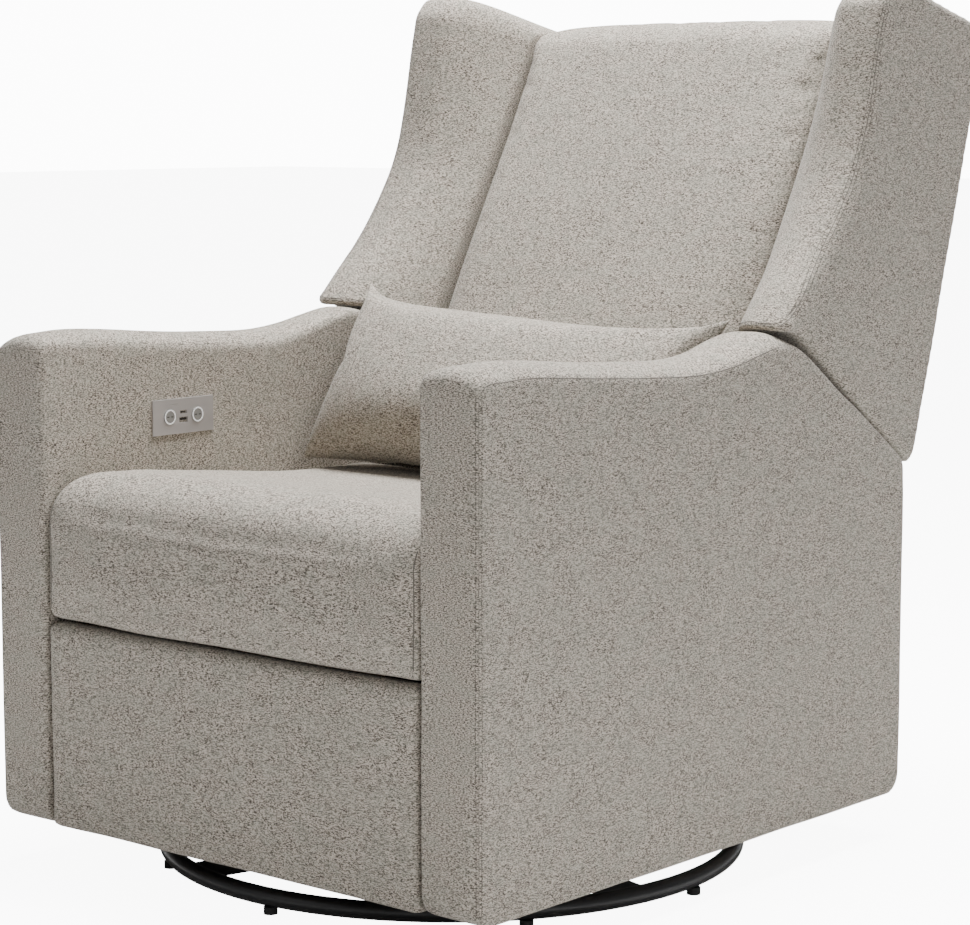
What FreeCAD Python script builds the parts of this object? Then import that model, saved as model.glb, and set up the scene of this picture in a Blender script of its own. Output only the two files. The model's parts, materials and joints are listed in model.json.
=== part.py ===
"""Power-reclining swivel glider nursery chair.

The chair faces -Y, +X is its left-hand arm seen from the front (the viewer's right), +Z is up.
Every sub-part is drawn about the swivel axis and then placed so that the origin is the
middle of the chair's footprint, on the floor.
"""
import FreeCAD, Part
import math
import os
import Sketcher

Vector = FreeCAD.Vector

# Driving dimensions in millimetres and degrees: alias, value.
SIZES = [
    # overall body
    ("overall_width", 750), ("front_reach", 386), ("rear_reach", 585), ("overall_height", 1043),
    ("body_bottom", 54), ("arm_rear", 409), ("arm_thick", 82), ("arm_front_height", 637),
    ("arm_rear_height", 463), ("arm_shoulder_y", 160), ("soft_gap", 0.3), ("corner_radius", 25),
    # seat
    ("seat_bottom", 302), ("seat_front_height", 477), ("seat_rear_height", 446),
    ("seat_depth", 536), ("seat_nose_radius", 55), ("seat_side_gap", 1),
    # base
    ("ring_radius", 343.5), ("ring_tube_radius", 10.5), ("foot_height", 8.5), ("foot_radius", 8),
    ("foot_spread", 20), ("base_turn", -15), ("spider_width", 56), ("spider_thick", 5),
    ("race_outer", 150), ("ball_circle", 130), ("race_height", 6), ("ball_radius", 4),
    ("centre_bolt_radius", 10),
    # glide mechanism
    ("plate_thick", 5), ("turntable_width", 390), ("turntable_depth", 250),
    ("upright_reach", 150), ("upright_width", 36), ("link_top", 232), ("link_length", 110),
    ("link_thick", 4), ("link_half_width", 13), ("glide_pin_radius", 5), ("running_fit", 0.05),
    ("layer_gap", 1), ("frame_inner", 190),
    # chassis
    ("tube_size", 25), ("tube_bottom", 85), ("front_tube_y", -60), ("rear_tube_y", 235),
    ("side_plate_top", 295), ("deck_thick", 6.7), ("rail_thick", 20), ("rail_height", 40),
    # leg rest
    ("legrest_pivot_y", -200.5), ("legrest_pivot_z", 262), ("rear_link_length", 190),
    ("rear_link_angle", -118), ("carry_y", 216.2), ("carry_z", 90.8), ("front_link_offset", 50),
    ("tilt_crank", 25), ("bracket_crank", 33.65), ("bracket_angle", 81.3),
    ("leg_half_width", 10), ("leg_pin_radius", 4), ("layer_pitch", 6), ("first_layer", 212),
    ("torque_tube_radius", 11), ("pad_thick", 30), ("board_thick", 10), ("legrest_side_gap", 3),
    ("legrest_top_gap", 2), ("lever_length", 55), ("lever_angle", -150),
    # actuator
    ("motor_y", 130), ("motor_z", 172), ("motor_size", 62), ("motor_length", 150), ("rod_radius", 11), ("yoke_slot", 8.5),
    # back
    ("back_pivot_y", 330), ("back_pivot_z", 285), ("back_pin_radius", 6), ("back_half", 241),
    ("back_foot_y", 155), ("back_lean", 0.547), ("back_top", 1000), ("rear_corner_drop", 65),
    ("rear_foot_y", 427), ("rear_foot_z", 474), ("outer_back_thick", 15), ("cushion_thick", 122),
    ("back_side_gap", 5), ("frame_slab", 22), ("bracket_thick", 5), ("wing_front_thick", 70),
    ("wing_lift", 5), ("rear_panel_top", 225), ("rear_panel_thick", 14),
    # pillow
    ("pillow_half_width", 265), ("pillow_height", 226), ("pillow_lean", 115), ("pillow_thick", 150),
    ("pillow_foot_y", 50),
    # controls
    ("control_y", -163), ("control_z", 523.5), ("control_length", 100), ("control_height", 43),
    ("control_proud", 2.5), ("button_radius", 9.3), ("button_gap", 0.25), ("button_spacing", 46),
    ("button_travel", 1), ("module_depth", 26), ("frame_board", 18),
]


class Dim:
    """A number together with the spreadsheet expression that gives it."""

    def __init__(self, value, text):
        self.value = float(value)
        self.text = text

    def __float__(self):
        return self.value

    def __neg__(self):
        return Dim(-self.value, "(0 - %s)" % self.text)

    def __add__(self, other):
        other = dim(other)
        return Dim(self.value + other.value, "(%s + %s)" % (self.text, other.text))

    def __sub__(self, other):
        other = dim(other)
        return Dim(self.value - other.value, "(%s - %s)" % (self.text, other.text))

    def __mul__(self, other):
        other = dim(other)
        return Dim(self.value * other.value, "(%s * %s)" % (self.text, other.text))

    def __truediv__(self, other):
        other = dim(other)
        return Dim(self.value / other.value, "(%s / %s)" % (self.text, other.text))

    def __radd__(self, other):
        return dim(other) + self

    def __rsub__(self, other):
        return dim(other) - self

    def __rmul__(self, other):
        return dim(other) * self


def dim(number):
    """A plain number as a Dim; a Dim passes through."""
    if isinstance(number, Dim):
        return number
    return Dim(number, "(%.6f)" % number)


def sine(angle):
    """Sine of an angle in degrees."""
    angle = dim(angle)
    return Dim(math.sin(math.radians(angle.value)), "sin(%s)" % angle.text)


def cosine(angle):
    """Cosine of an angle in degrees."""
    angle = dim(angle)
    return Dim(math.cos(math.radians(angle.value)), "cos(%s)" % angle.text)


doc = FreeCAD.newDocument("nursery_glider")
sheet = doc.addObject("Spreadsheet::Sheet", "Sizes")
size = {}
for row, (alias, number) in enumerate(SIZES, start=1):
    sheet.set("A%d" % row, alias)
    sheet.set("B%d" % row, str(number))
    sheet.setAlias("B%d" % row, alias)
    size[alias] = Dim(number, "Sizes.%s" % alias)
doc.recompute()


class Named:
    """Lets the sizes be read as S.overall_width."""

    def __getattr__(self, alias):
        return size[alias]


S = Named()
swivel_y = (S.front_reach - S.rear_reach) / 2
subparts = {}


def place(item, label):
    """Names a sub-part and shifts it from the swivel axis to the chair's own origin."""
    item.Label = label
    item.setExpression("Placement.Base.y", swivel_y.text)
    subparts[label] = item
    return item


def new_body(label):
    return place(doc.addObject("PartDesign::Body", label), label)


def new_sketch(body, plane, level):
    """A sketch on an origin plane, moved to a level along the plane's own axis."""
    origin = [f for f in body.Origin.OriginFeatures if f.Role == plane + "_Plane"][0]
    sketch = body.newObject("Sketcher::SketchObject", body.Name + "_sketch")
    sketch.AttachmentSupport = [(origin, "")]
    sketch.MapMode = "FlatFace"
    sketch.setExpression("AttachmentOffset.Base.z", dim(level).text)
    return sketch


def pin_point(sketch, geometry, corner, u, v):
    """Fixes one point of a sketch by two bound distances from the sketch's origin."""
    for kind, value in (("DistanceX", dim(u)), ("DistanceY", dim(v))):
        index = sketch.addConstraint(Sketcher.Constraint(kind, -1, 1, geometry, corner, value.value))
        sketch.setExpression("Constraints[%d]" % index, value.text)


def set_radius(sketch, geometry, radius):
    index = sketch.addConstraint(Sketcher.Constraint("Radius", geometry, float(radius)))
    sketch.setExpression("Constraints[%d]" % index, dim(radius).text)


def draw_outline(sketch, points):
    """A closed polygon with every corner bound to the sheet."""
    first = sketch.GeometryCount
    count = len(points)
    corners = [Vector(float(u), float(v), 0) for u, v in points]
    for i in range(count):
        sketch.addGeometry(Part.LineSegment(corners[i], corners[(i + 1) % count]))
    for i in range(count):
        follower = first + (i + 1) % count
        sketch.addConstraint(Sketcher.Constraint("Coincident", first + i, 2, follower, 1))
    for i, (u, v) in enumerate(points):
        pin_point(sketch, first + i, 1, u, v)


def draw_circle(sketch, u, v, radius):
    circle = Part.Circle(Vector(float(u), float(v), 0), Vector(0, 0, 1), float(radius))
    index = sketch.addGeometry(circle)
    pin_point(sketch, index, 3, u, v)
    set_radius(sketch, index, radius)


def draw_slot(sketch, start, end, radius):
    """A bar with round ends about two centres."""
    a = Vector(float(start[0]), float(start[1]), 0)
    b = Vector(float(end[0]), float(end[1]), 0)
    turn = math.atan2(b.y - a.y, b.x - a.x)
    side = Vector(-math.sin(turn), math.cos(turn), 0) * float(radius)
    half = math.pi / 2
    up = Vector(0, 0, 1)
    first_end = Part.Circle(a, up, float(radius))
    last_end = Part.Circle(b, up, float(radius))
    arc_a = sketch.addGeometry(Part.ArcOfCircle(first_end, turn + half, turn + 3 * half))
    arc_b = sketch.addGeometry(Part.ArcOfCircle(last_end, turn - half, turn + half))
    low = sketch.addGeometry(Part.LineSegment(a - side, b - side))
    high = sketch.addGeometry(Part.LineSegment(b + side, a + side))
    pairs = ((arc_a, 2, low, 1), (low, 2, arc_b, 1), (arc_b, 2, high, 1), (high, 2, arc_a, 1))
    for g1, p1, g2, p2 in pairs:
        sketch.addConstraint(Sketcher.Constraint("Tangent", g1, p1, g2, p2))
    sketch.addConstraint(Sketcher.Constraint("Equal", arc_a, arc_b))
    set_radius(sketch, arc_a, radius)
    pin_point(sketch, arc_a, 3, *start)
    pin_point(sketch, arc_b, 3, *end)


def add_pad(body, plane, low, high, outlines=(), circles=(), slots=()):
    """Extrudes a sketch between two levels of the axis across the plane."""
    start = -dim(high) if plane == "XZ" else dim(low)
    sketch = new_sketch(body, plane, start)
    for points in outlines:
        draw_outline(sketch, points)
    for u, v, radius in circles:
        draw_circle(sketch, u, v, radius)
    for begin, end, radius in slots:
        draw_slot(sketch, begin, end, radius)
    pad = body.newObject("PartDesign::Pad", body.Name + "_pad")
    pad.Profile = sketch
    pad.Length = float(high) - float(low)
    pad.setExpression("Length", (dim(high) - low).text)
    return pad


def add_pocket(body, plane, low, high, outlines=(), circles=()):
    """Cuts between two levels of the axis across the plane."""
    doc.recompute()
    before = body.Shape.Volume
    start = -dim(high) if plane == "XZ" else dim(low)
    sketch = new_sketch(body, plane, start)
    for points in outlines:
        draw_outline(sketch, points)
    for u, v, radius in circles:
        draw_circle(sketch, u, v, radius)
    pocket = body.newObject("PartDesign::Pocket", body.Name + "_pocket")
    pocket.Profile = sketch
    pocket.Reversed = True
    pocket.Length = float(high) - float(low)
    pocket.setExpression("Length", (dim(high) - low).text)
    doc.recompute()
    if body.Shape.Volume >= before:
        raise ValueError("the pocket in %s cuts nothing" % body.Label)
    return pocket


def padded(label, plane, low, high, **profile):
    """A sub-part made by one extrusion."""
    body = new_body(label)
    add_pad(body, plane, low, high, **profile)
    return body


def rectangle(u_low, u_high, v_low, v_high):
    return [(u_low, v_low), (u_high, v_low), (u_high, v_high), (u_low, v_high)]


def both_sides(low, high):
    """Name, lower and upper level of a layer on each side of the chair."""
    return (("left", -dim(high), -dim(low)), ("right", dim(low), dim(high)))


# --- Shared levels and lines ------------------------------------------------------------------

half_width = S.overall_width / 2
arm_inner = half_width - S.arm_thick
frame_outer = S.frame_inner + S.plate_thick
swing_inner = frame_outer + S.layer_gap
swing_outer = swing_inner + S.link_thick
plate_inner = swing_outer + S.layer_gap
plate_outer = plate_inner + S.plate_thick
bracket_inner = plate_outer + S.layer_gap
bracket_outer = bracket_inner + S.bracket_thick
link_bottom = S.link_top - S.link_length
ring_level = S.foot_height + S.ring_tube_radius
spider_top = S.foot_height + 2 * S.ring_tube_radius - 0.5
race_bottom = spider_top
balls_level = race_bottom + S.race_height + S.ball_radius
turntable_bottom = balls_level + S.ball_radius + S.running_fit
turntable_top = turntable_bottom + S.plate_thick
tube_top = S.tube_bottom + S.tube_size


def leg_layer(number):
    """Lower and upper level of one leg-rest layer, counted outwards from the side plate."""
    low = S.first_layer + number * S.layer_pitch
    return low, low + S.link_thick


def seat_height(y):
    """Top of the seat: falling gently from behind the nose to where the back starts."""
    front = -S.front_reach + 2 * S.seat_nose_radius
    fall = (S.seat_front_height - S.seat_rear_height) / (S.seat_depth - 2 * S.seat_nose_radius)
    return S.seat_front_height - fall * (y - front)


def back_front(z):
    """Front face of the back cushion."""
    return S.back_foot_y + S.back_lean * (z - S.seat_rear_height)


def back_rear(z):
    """Rear face of the back: from its foot to the rearmost point, just below the wings' tops."""
    rise = S.overall_height - S.rear_corner_drop - S.rear_foot_z
    return S.rear_foot_y + (S.rear_reach - S.rear_foot_y) / rise * (z - S.rear_foot_z)


def corner_arc(y, z, radius, start, stop, steps):
    """Points of a round corner, listed from one angle to another."""
    angles = [start + (stop - start) * i / steps for i in range(steps + 1)]
    return [(y + radius * cosine(a), z + radius * sine(a)) for a in angles]


# --- Swivel base ------------------------------------------------------------------------------

def ring_solid(label):
    torus = doc.addObject("Part::Torus", label)
    torus.setExpression("Radius1", S.ring_radius.text)
    torus.setExpression("Radius2", S.ring_tube_radius.text)
    torus.setExpression("Placement.Base.z", ring_level.text)
    return torus


def make_base():
    place(ring_solid("base_ring"), "base_ring")
    feet = []
    for arm in range(4):
        for side in (-1, 1):
            angle = S.base_turn + 90 * arm + side * S.foot_spread
            feet.append((S.ring_radius * cosine(angle), S.ring_radius * sine(angle), S.foot_radius))
    padded("base_feet", "XY", 0, S.foot_height, circles=feet)

    # The spider is a flat steel cross whose ends are saddled to the ring.
    blanks = doc.addObject("PartDesign::Body", "spider_blank")
    for arm in range(2):
        turn = S.base_turn + 90 * arm
        corners = []
        for along, across in ((-1, -1), (1, -1), (1, 1), (-1, 1)):
            reach = along * S.ring_radius
            offset = across * S.spider_width / 2
            u = reach * cosine(turn) - offset * sine(turn)
            v = reach * sine(turn) + offset * cosine(turn)
            corners.append((u, v))
        add_pad(blanks, "XY", spider_top - S.spider_thick, spider_top, outlines=[corners])
    spider = doc.addObject("Part::Cut", "base_spider")
    spider.Base = blanks
    spider.Tool = ring_solid("ring_saddle")
    place(spider, "base_spider")

    rim = [(0, 0, S.race_outer), (0, 0, S.centre_bolt_radius)]
    padded("lower_race", "XY", race_bottom, race_bottom + S.race_height, circles=rim)
    middle = S.ball_circle
    balls = doc.addObject("Part::Feature", "race_balls")
    solids = []
    for i in range(12):
        spot = Vector(middle.value * math.cos(math.radians(30 * i)),
                      middle.value * math.sin(math.radians(30 * i)), balls_level.value)
        solids.append(Part.makeSphere(S.ball_radius.value, spot))
    balls.Shape = Part.makeCompound(solids)
    place(balls, "race_balls")
    bolt = new_body("centre_bolt")
    add_pad(bolt, "XY", spider_top, turntable_top, circles=[(0, 0, S.centre_bolt_radius)])
    add_pad(bolt, "XY", turntable_top + S.layer_gap / 2, turntable_top + 10,
            circles=[(0, 0, 2 * S.centre_bolt_radius)])
    add_pad(bolt, "XY", turntable_top, turntable_top + S.layer_gap / 2,
            circles=[(0, 0, S.centre_bolt_radius)])


# --- Turntable and glide frame ----------------------------------------------------------------

def make_turntable():
    half_w = S.turntable_width / 2
    half_d = S.turntable_depth / 2
    hole = (0, 0, S.centre_bolt_radius + S.running_fit)
    padded("turntable_plate", "XY", turntable_bottom, turntable_top,
           outlines=[rectangle(-half_w, half_w, -half_d, half_d)], circles=[hole])
    rail_top = turntable_top + S.tube_size
    half = S.upright_width / 2
    out = S.upright_reach + half
    inn = S.upright_reach - half
    tip = S.link_top + half
    frame = [(-out, turntable_top), (out, turntable_top), (out, tip - 8), (out - 8, tip),
             (inn + 8, tip), (inn, tip - 8), (inn, rail_top + 20), (inn - 20, rail_top),
             (-inn + 20, rail_top), (-inn, rail_top + 20), (-inn, tip - 8), (-inn - 8, tip),
             (-out + 8, tip), (-out, tip - 8)]
    pins = [(-S.upright_reach, S.link_top, S.glide_pin_radius),
            (S.upright_reach, S.link_top, S.glide_pin_radius)]
    for side, low, high in both_sides(S.frame_inner, frame_outer):
        padded("glide_frame_" + side, "YZ", low, high, outlines=[frame], circles=pins)
    bolts = new_body("glide_bolts_upper")
    for side, low, high in both_sides(S.frame_inner - 3, swing_outer):
        add_pad(bolts, "YZ", low, high, circles=pins)


def make_swing_links():
    hole = S.glide_pin_radius + S.running_fit
    for end, y in (("front", -S.upright_reach), ("rear", S.upright_reach)):
        for side, low, high in both_sides(swing_inner, swing_outer):
            padded("swing_link_%s_%s" % (end, side), "YZ", low, high,
                   slots=[((y, S.link_top), (y, link_bottom), S.link_half_width)],
                   circles=[(y, S.link_top, hole), (y, link_bottom, hole)])
    bolts = new_body("glide_bolts_lower")
    pins = [(-S.upright_reach, link_bottom, S.glide_pin_radius),
            (S.upright_reach, link_bottom, S.glide_pin_radius)]
    for side, low, high in both_sides(swing_inner, plate_outer + 3):
        add_pad(bolts, "YZ", low, high, circles=pins)


# --- Leg-rest linkage points, at rest ------------------------------------------------------------

P1 = (S.legrest_pivot_y, S.legrest_pivot_z)
link_a = (P1[0] - S.rear_link_length * cosine(S.rear_link_angle),
          P1[1] + S.rear_link_length * sine(S.rear_link_angle))
Q1 = (link_a[0] - S.carry_y, link_a[1] + S.carry_z)
carry_length = math.hypot(S.carry_y.value, S.carry_z.value)
offset_y = S.front_link_offset * S.carry_y / carry_length
offset_z = S.front_link_offset * S.carry_z / carry_length
P2 = (P1[0] - offset_y, P1[1] + offset_z)
link_b = (link_a[0] - offset_y, link_a[1] + offset_z)
link_c = (link_a[0] + S.tilt_crank * cosine(S.rear_link_angle),
          link_a[1] - S.tilt_crank * sine(S.rear_link_angle))
Q2 = (Q1[0] - S.bracket_crank * cosine(S.bracket_angle),
      Q1[1] + S.bracket_crank * sine(S.bracket_angle))

lever_tip = (P1[0] - S.lever_length * cosine(S.lever_angle),
             P1[1] + S.lever_length * sine(S.lever_angle))


# --- Chassis ------------------------------------------------------------------------------------

def make_chassis():
    half = S.tube_size / 2
    fy = S.front_tube_y
    ry = S.rear_tube_y
    h_shape = [(-arm_inner, fy - half), (arm_inner, fy - half), (arm_inner, fy + half),
               (half, fy + half), (half, ry - half), (arm_inner, ry - half),
               (arm_inner, ry + half), (-arm_inner, ry + half), (-arm_inner, ry - half),
               (-half, ry - half), (-half, fy + half), (-arm_inner, fy + half)]
    padded("chassis_frame", "XY", S.tube_bottom, tube_top, outlines=[h_shape])

    top = S.side_plate_top
    front = -S.front_reach + S.pad_thick + S.board_thick + 9
    rear = S.back_pivot_y + 18
    outline = [(front, P1[1] - 14), (P1[0] - 18, P1[1] - 20), (-S.upright_reach - 20, tube_top),
               (ry + half, tube_top), (ry + half + 15, S.back_pivot_z - 60),
               (rear, S.back_pivot_z - 18), (rear, top), (front, top)]
    holes = [(P1[0], P1[1], S.torque_tube_radius + S.running_fit),
             (P2[0], P2[1], S.leg_pin_radius),
             (-S.upright_reach, link_bottom, S.glide_pin_radius),
             (S.upright_reach, link_bottom, S.glide_pin_radius),
             (S.back_pivot_y, S.back_pivot_z, S.back_pin_radius)]
    for side, low, high in both_sides(plate_inner, plate_outer):
        padded("side_plate_" + side, "YZ", low, high, outlines=[outline], circles=holes)
    f_low, f_high = leg_layer(2)
    legrest_bolts = new_body("legrest_bolts")
    back_bolts = new_body("back_bolts")
    for side, low, high in both_sides(plate_inner, f_high):
        add_pad(legrest_bolts, "YZ", low, high, circles=[(P2[0], P2[1], S.leg_pin_radius)])
    back_pin = (S.back_pivot_y, S.back_pivot_z, S.back_pin_radius)
    for side, low, high in both_sides(plate_inner, bracket_outer):
        add_pad(back_bolts, "YZ", low, high, circles=[back_pin])

    padded("seat_front_rail", "XZ", front + 1, front + 1 + S.rail_thick,
           outlines=[rectangle(-plate_inner, plate_inner, top - S.rail_height, top)])
    deck_side = arm_inner - 8
    padded("seat_deck", "XY", top, top + S.deck_thick,
           outlines=[rectangle(-deck_side, deck_side, front, -S.front_reach + S.seat_depth - 10)])


def make_seat():
    nose = S.seat_nose_radius
    front = -S.front_reach
    rear = -S.front_reach + S.seat_depth
    profile = [(front + 12, S.seat_bottom), (rear, S.seat_bottom), (rear, seat_height(rear))]
    profile.append((front + 2 * nose, S.seat_front_height))
    profile += corner_arc(front + nose, S.seat_front_height - nose, nose, 90, 180, 5)
    profile.append((front, S.seat_bottom + 12))
    side = arm_inner - S.seat_side_gap
    padded("seat_cushion", "YZ", -side, side, outlines=[profile])


# --- Arms -------------------------------------------------------------------------------------

def arm_outline():
    """Side view of an arm: level front, a shallow dip, a rise, then the long slope to the rear."""
    front = -S.front_reach
    top = S.arm_front_height
    low = S.body_bottom
    rear = S.arm_rear
    r = S.corner_radius
    outline = corner_arc(front + r, low + r, r, 180, 270, 3)
    outline += corner_arc(rear - r, low + r, r, 270, 360, 3)
    outline += [(rear, S.arm_rear_height - 18), (rear - 5, S.arm_rear_height)]
    outline += [(S.arm_shoulder_y + 29, top - 25), (S.arm_shoulder_y, top - 3)]
    outline += [(dim(127), top + 4), (dim(67), top - 6), (dim(-13), top - 15), (dim(-92), top - 12),
                (dim(-257), top - 2)]
    outline += corner_arc(front + r, top - r, r, 90, 180, 3)
    return outline


def make_arms():
    low = S.body_bottom
    for side, inner, outer in both_sides(arm_inner, half_width):
        middle = (inner + outer) / 2
        board_low = middle - S.frame_board / 2
        board_high = middle + S.frame_board / 2
        slot = rectangle(board_low, board_high, -S.front_reach + 46, S.arm_rear - 49)
        top = S.arm_rear_height - 23
        padded("arm_frame_" + side, "XY", low, top, outlines=[slot])
        cover = new_body("arm_cover_" + side)
        add_pad(cover, "YZ", inner, outer, outlines=[arm_outline()])
        add_pocket(cover, "XY", low, top, outlines=[slot])
        if side == "left":
            # A recess in the inner face takes the control module.
            y = S.control_y
            z = S.control_z
            hl = S.control_length / 2 - 6
            hh = S.control_height / 2 - 6
            add_pocket(cover, "YZ", -arm_inner - S.module_depth, -arm_inner,
                       outlines=[rectangle(y - hl, y + hl, z - hh, z + hh)])
    panel_side = arm_inner - S.soft_gap
    padded("rear_panel", "XZ", S.arm_rear - S.rear_panel_thick, S.arm_rear,
           outlines=[rectangle(-panel_side, panel_side, low, S.rear_panel_top)])


# --- Controls ---------------------------------------------------------------------------------

def make_controls():
    y = S.control_y
    z = S.control_z
    face = -arm_inner
    hl = S.control_length / 2
    hh = S.control_height / 2
    spots = [(y - S.button_spacing / 2, z), (y + S.button_spacing / 2, z)]
    hole = S.button_radius + S.button_gap
    usb_c = rectangle(y - 5.5, y + 5.5, z + 2.5, z + 6.5)
    usb_a = rectangle(y - 7, y + 7, z - 8.5, z - 1.5)
    padded("control_plate", "YZ", face, face + S.control_proud,
           outlines=[rectangle(y - hl, y + hl, z - hh, z + hh), usb_c, usb_a],
           circles=[(u, v, hole) for u, v in spots])
    # The module fills the recess behind the plate and holds both charging sockets.
    module = new_body("control_module")
    ml = hl - 6
    mh = hh - 6
    add_pad(module, "YZ", face - S.module_depth, face,
            outlines=[rectangle(y - ml, y + ml, z - mh, z + mh)])
    add_pocket(module, "YZ", face - 8, face, circles=[(u, v, hole) for u, v in spots])
    add_pocket(module, "YZ", face - 9, face, outlines=[usb_c, usb_a])
    add_pad(module, "YZ", face - 9, face + 1,
            outlines=[rectangle(y - 3.5, y + 3.5, z + 4, z + 5),
                      rectangle(y - 6, y + 6, z - 5.2, z - 2.8)])
    for name, (u, v) in zip(("button_open", "button_close"), spots):
        padded(name, "YZ", face - 6, face + S.control_proud + S.button_travel + 0.2,
               circles=[(u, v, S.button_radius)])
    # The supply socket for the motor sits at the foot of the rear panel.
    inlet = new_body("power_inlet")
    iy = S.arm_rear - S.rear_panel_thick
    add_pad(inlet, "XZ", iy - 18, iy, outlines=[rectangle(-9, 9, S.body_bottom + 12, S.body_bottom + 30)])
    add_pocket(inlet, "XY", S.body_bottom + 12, S.body_bottom + 24, circles=[(0, iy - 9, 3.2)])
    add_pad(inlet, "XY", S.body_bottom + 14, S.body_bottom + 25, circles=[(0, iy - 9, 1)])


# --- Leg rest ---------------------------------------------------------------------------------

def make_legrest():
    hole = S.leg_pin_radius + S.running_fit
    pin = S.leg_pin_radius
    width = S.leg_half_width
    rear_low, rear_high = leg_layer(0)
    carry_low, carry_high = leg_layer(1)
    front_low, front_high = leg_layer(2)
    tilt_low, tilt_high = leg_layer(3)
    bracket_low, bracket_high = leg_layer(4)

    # The torque tube joins the rear links of both sides; a welded lever takes the drive.
    tube = new_body("torque_tube")
    end = rear_high
    add_pad(tube, "YZ", -end, end, circles=[(P1[0], P1[1], S.torque_tube_radius)])
    add_pad(tube, "YZ", -6, 6, slots=[(P1, lever_tip, width + 1)])
    add_pad(tube, "YZ", -16, 16, circles=[(*lever_tip, pin)])
    board_face = -S.front_reach + S.pad_thick + S.board_thick

    rear_rivets = new_body("rear_link_rivets")
    carry_rivets = new_body("carry_link_rivets")
    bracket_rivets = new_body("bracket_rivets")
    for side in ("left", "right"):
        sign = -1 if side == "left" else 1

        def levels(low, high):
            return (-high, -low) if sign < 0 else (low, high)

        low, high = levels(rear_low, rear_high)
        rear = new_body("legrest_rear_link_" + side)
        add_pad(rear, "YZ", low, high, slots=[(P1, link_a, width)])
        add_pad(rear, "YZ", low, high, circles=[(P1[0], P1[1], S.torque_tube_radius + 6)])
        add_pocket(rear, "YZ", low, high,
                   circles=[(P1[0], P1[1], S.torque_tube_radius), (*link_a, pin), (*link_c, pin)])
        low, high = levels(rear_low, carry_high)
        add_pad(rear_rivets, "YZ", low, high, circles=[(*link_a, pin)])
        low, high = levels(rear_low, tilt_high)
        add_pad(rear_rivets, "YZ", low, high, circles=[(*link_c, pin)])
        low, high = levels(front_low, front_high)
        padded("legrest_front_link_" + side, "YZ", low, high, slots=[(P2, link_b, width)],
               circles=[(*P2, hole), (*link_b, hole)])
        low, high = levels(carry_low, carry_high)
        padded("legrest_carry_link_" + side, "YZ", low, high, slots=[(link_a, Q1, width)],
               circles=[(*link_a, hole), (*link_b, pin), (*Q1, pin)])
        low, high = levels(carry_low, front_high)
        add_pad(carry_rivets, "YZ", low, high, circles=[(*link_b, pin)])
        low, high = levels(carry_low, bracket_high)
        add_pad(carry_rivets, "YZ", low, high, circles=[(*Q1, pin)])
        low, high = levels(tilt_low, tilt_high)
        # The tilt link's outer hole is opened out: it takes up the small error of the linkage.
        padded("legrest_tilt_link_" + side, "YZ", low, high, slots=[(link_c, Q2, width)],
               circles=[(*link_c, hole), (*Q2, pin + 4.2)])
        low, high = levels(bracket_low, bracket_high)
        bracket = [(board_face, Q1[1] - 45), (Q1[0] - 4, Q1[1] - 16), (Q1[0] + 14, Q1[1]),
                   (Q2[0] + 14, Q2[1] + 4), (Q2[0], Q2[1] + 16), (board_face, Q2[1] + 40)]
        padded("legrest_bracket_" + side, "YZ", low, high, outlines=[bracket],
               circles=[(*Q1, hole), (*Q2, pin)])
        low, high = levels(tilt_low, bracket_high)
        add_pad(bracket_rivets, "YZ", low, high, circles=[(*Q2, pin)])

    half = arm_inner - S.legrest_side_gap
    top = S.seat_bottom - S.legrest_top_gap
    low = S.body_bottom
    pad_back = -S.front_reach + S.pad_thick
    pad_profile = corner_arc(-S.front_reach + 12, top - 12, dim(12), 180, 90, 3)
    pad_profile += [(pad_back, top), (pad_back, low)]
    pad_profile += corner_arc(-S.front_reach + 12, low + 12, dim(12), 270, 180, 3)
    padded("legrest_pad", "YZ", -half, half, outlines=[pad_profile])
    padded("legrest_board", "XZ", pad_back, board_face,
           outlines=[rectangle(-half + 6, half - 6, low + 6, top - 6)])


# --- Drive --------------------------------------------------------------------------------------

def make_actuator():
    my = S.motor_y
    mz = S.motor_z
    half = S.motor_size / 2
    housing = new_body("actuator_housing")
    add_pad(housing, "YZ", -half, half,
            outlines=[rectangle(my - S.motor_length, my - 12, mz - half, mz + half)])
    add_pad(housing, "YZ", -8, 8, slots=[((my - 14, mz), (my, mz), dim(11))])
    add_pocket(housing, "XZ", my - S.motor_length, my - 20,
               circles=[(0, mz, S.rod_radius + S.running_fit)])
    add_pocket(housing, "YZ", -8, 8, circles=[(my, mz, S.glide_pin_radius)])
    bracket = new_body("actuator_bracket")
    for low, high in ((dim(-14), dim(-9)), (dim(9), dim(14))):
        add_pad(bracket, "YZ", low, high,
                outlines=[[(my - 11, tube_top), (my + 60, tube_top), (my + 12, mz + 12),
                           (my - 11, mz + 12)]])
    add_pad(bracket, "YZ", -14, 14, circles=[(my, mz, S.glide_pin_radius)])

    # The rod's nose is a slotted yoke: the lever's pin slides up and down in it as it turns.
    rod = new_body("actuator_rod")
    add_pad(rod, "XZ", lever_tip[0] - 14, my - 24, circles=[(0, mz, S.rod_radius)])
    top = lever_tip[1] + S.yoke_slot + 5.5
    lowest = P1[1] - S.lever_length
    for low, high in ((dim(-13), dim(-8)), (dim(8), dim(13))):
        add_pad(rod, "YZ", low, high,
                outlines=[rectangle(lever_tip[0] - 18, lever_tip[0] + 18, mz - 8, top)])
        add_pocket(rod, "YZ", low, high,
                   outlines=[rectangle(lever_tip[0] - S.yoke_slot, lever_tip[0] + S.yoke_slot,
                                       lowest - S.yoke_slot, lever_tip[1] + S.yoke_slot)])


# --- Back ---------------------------------------------------------------------------------------

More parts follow.
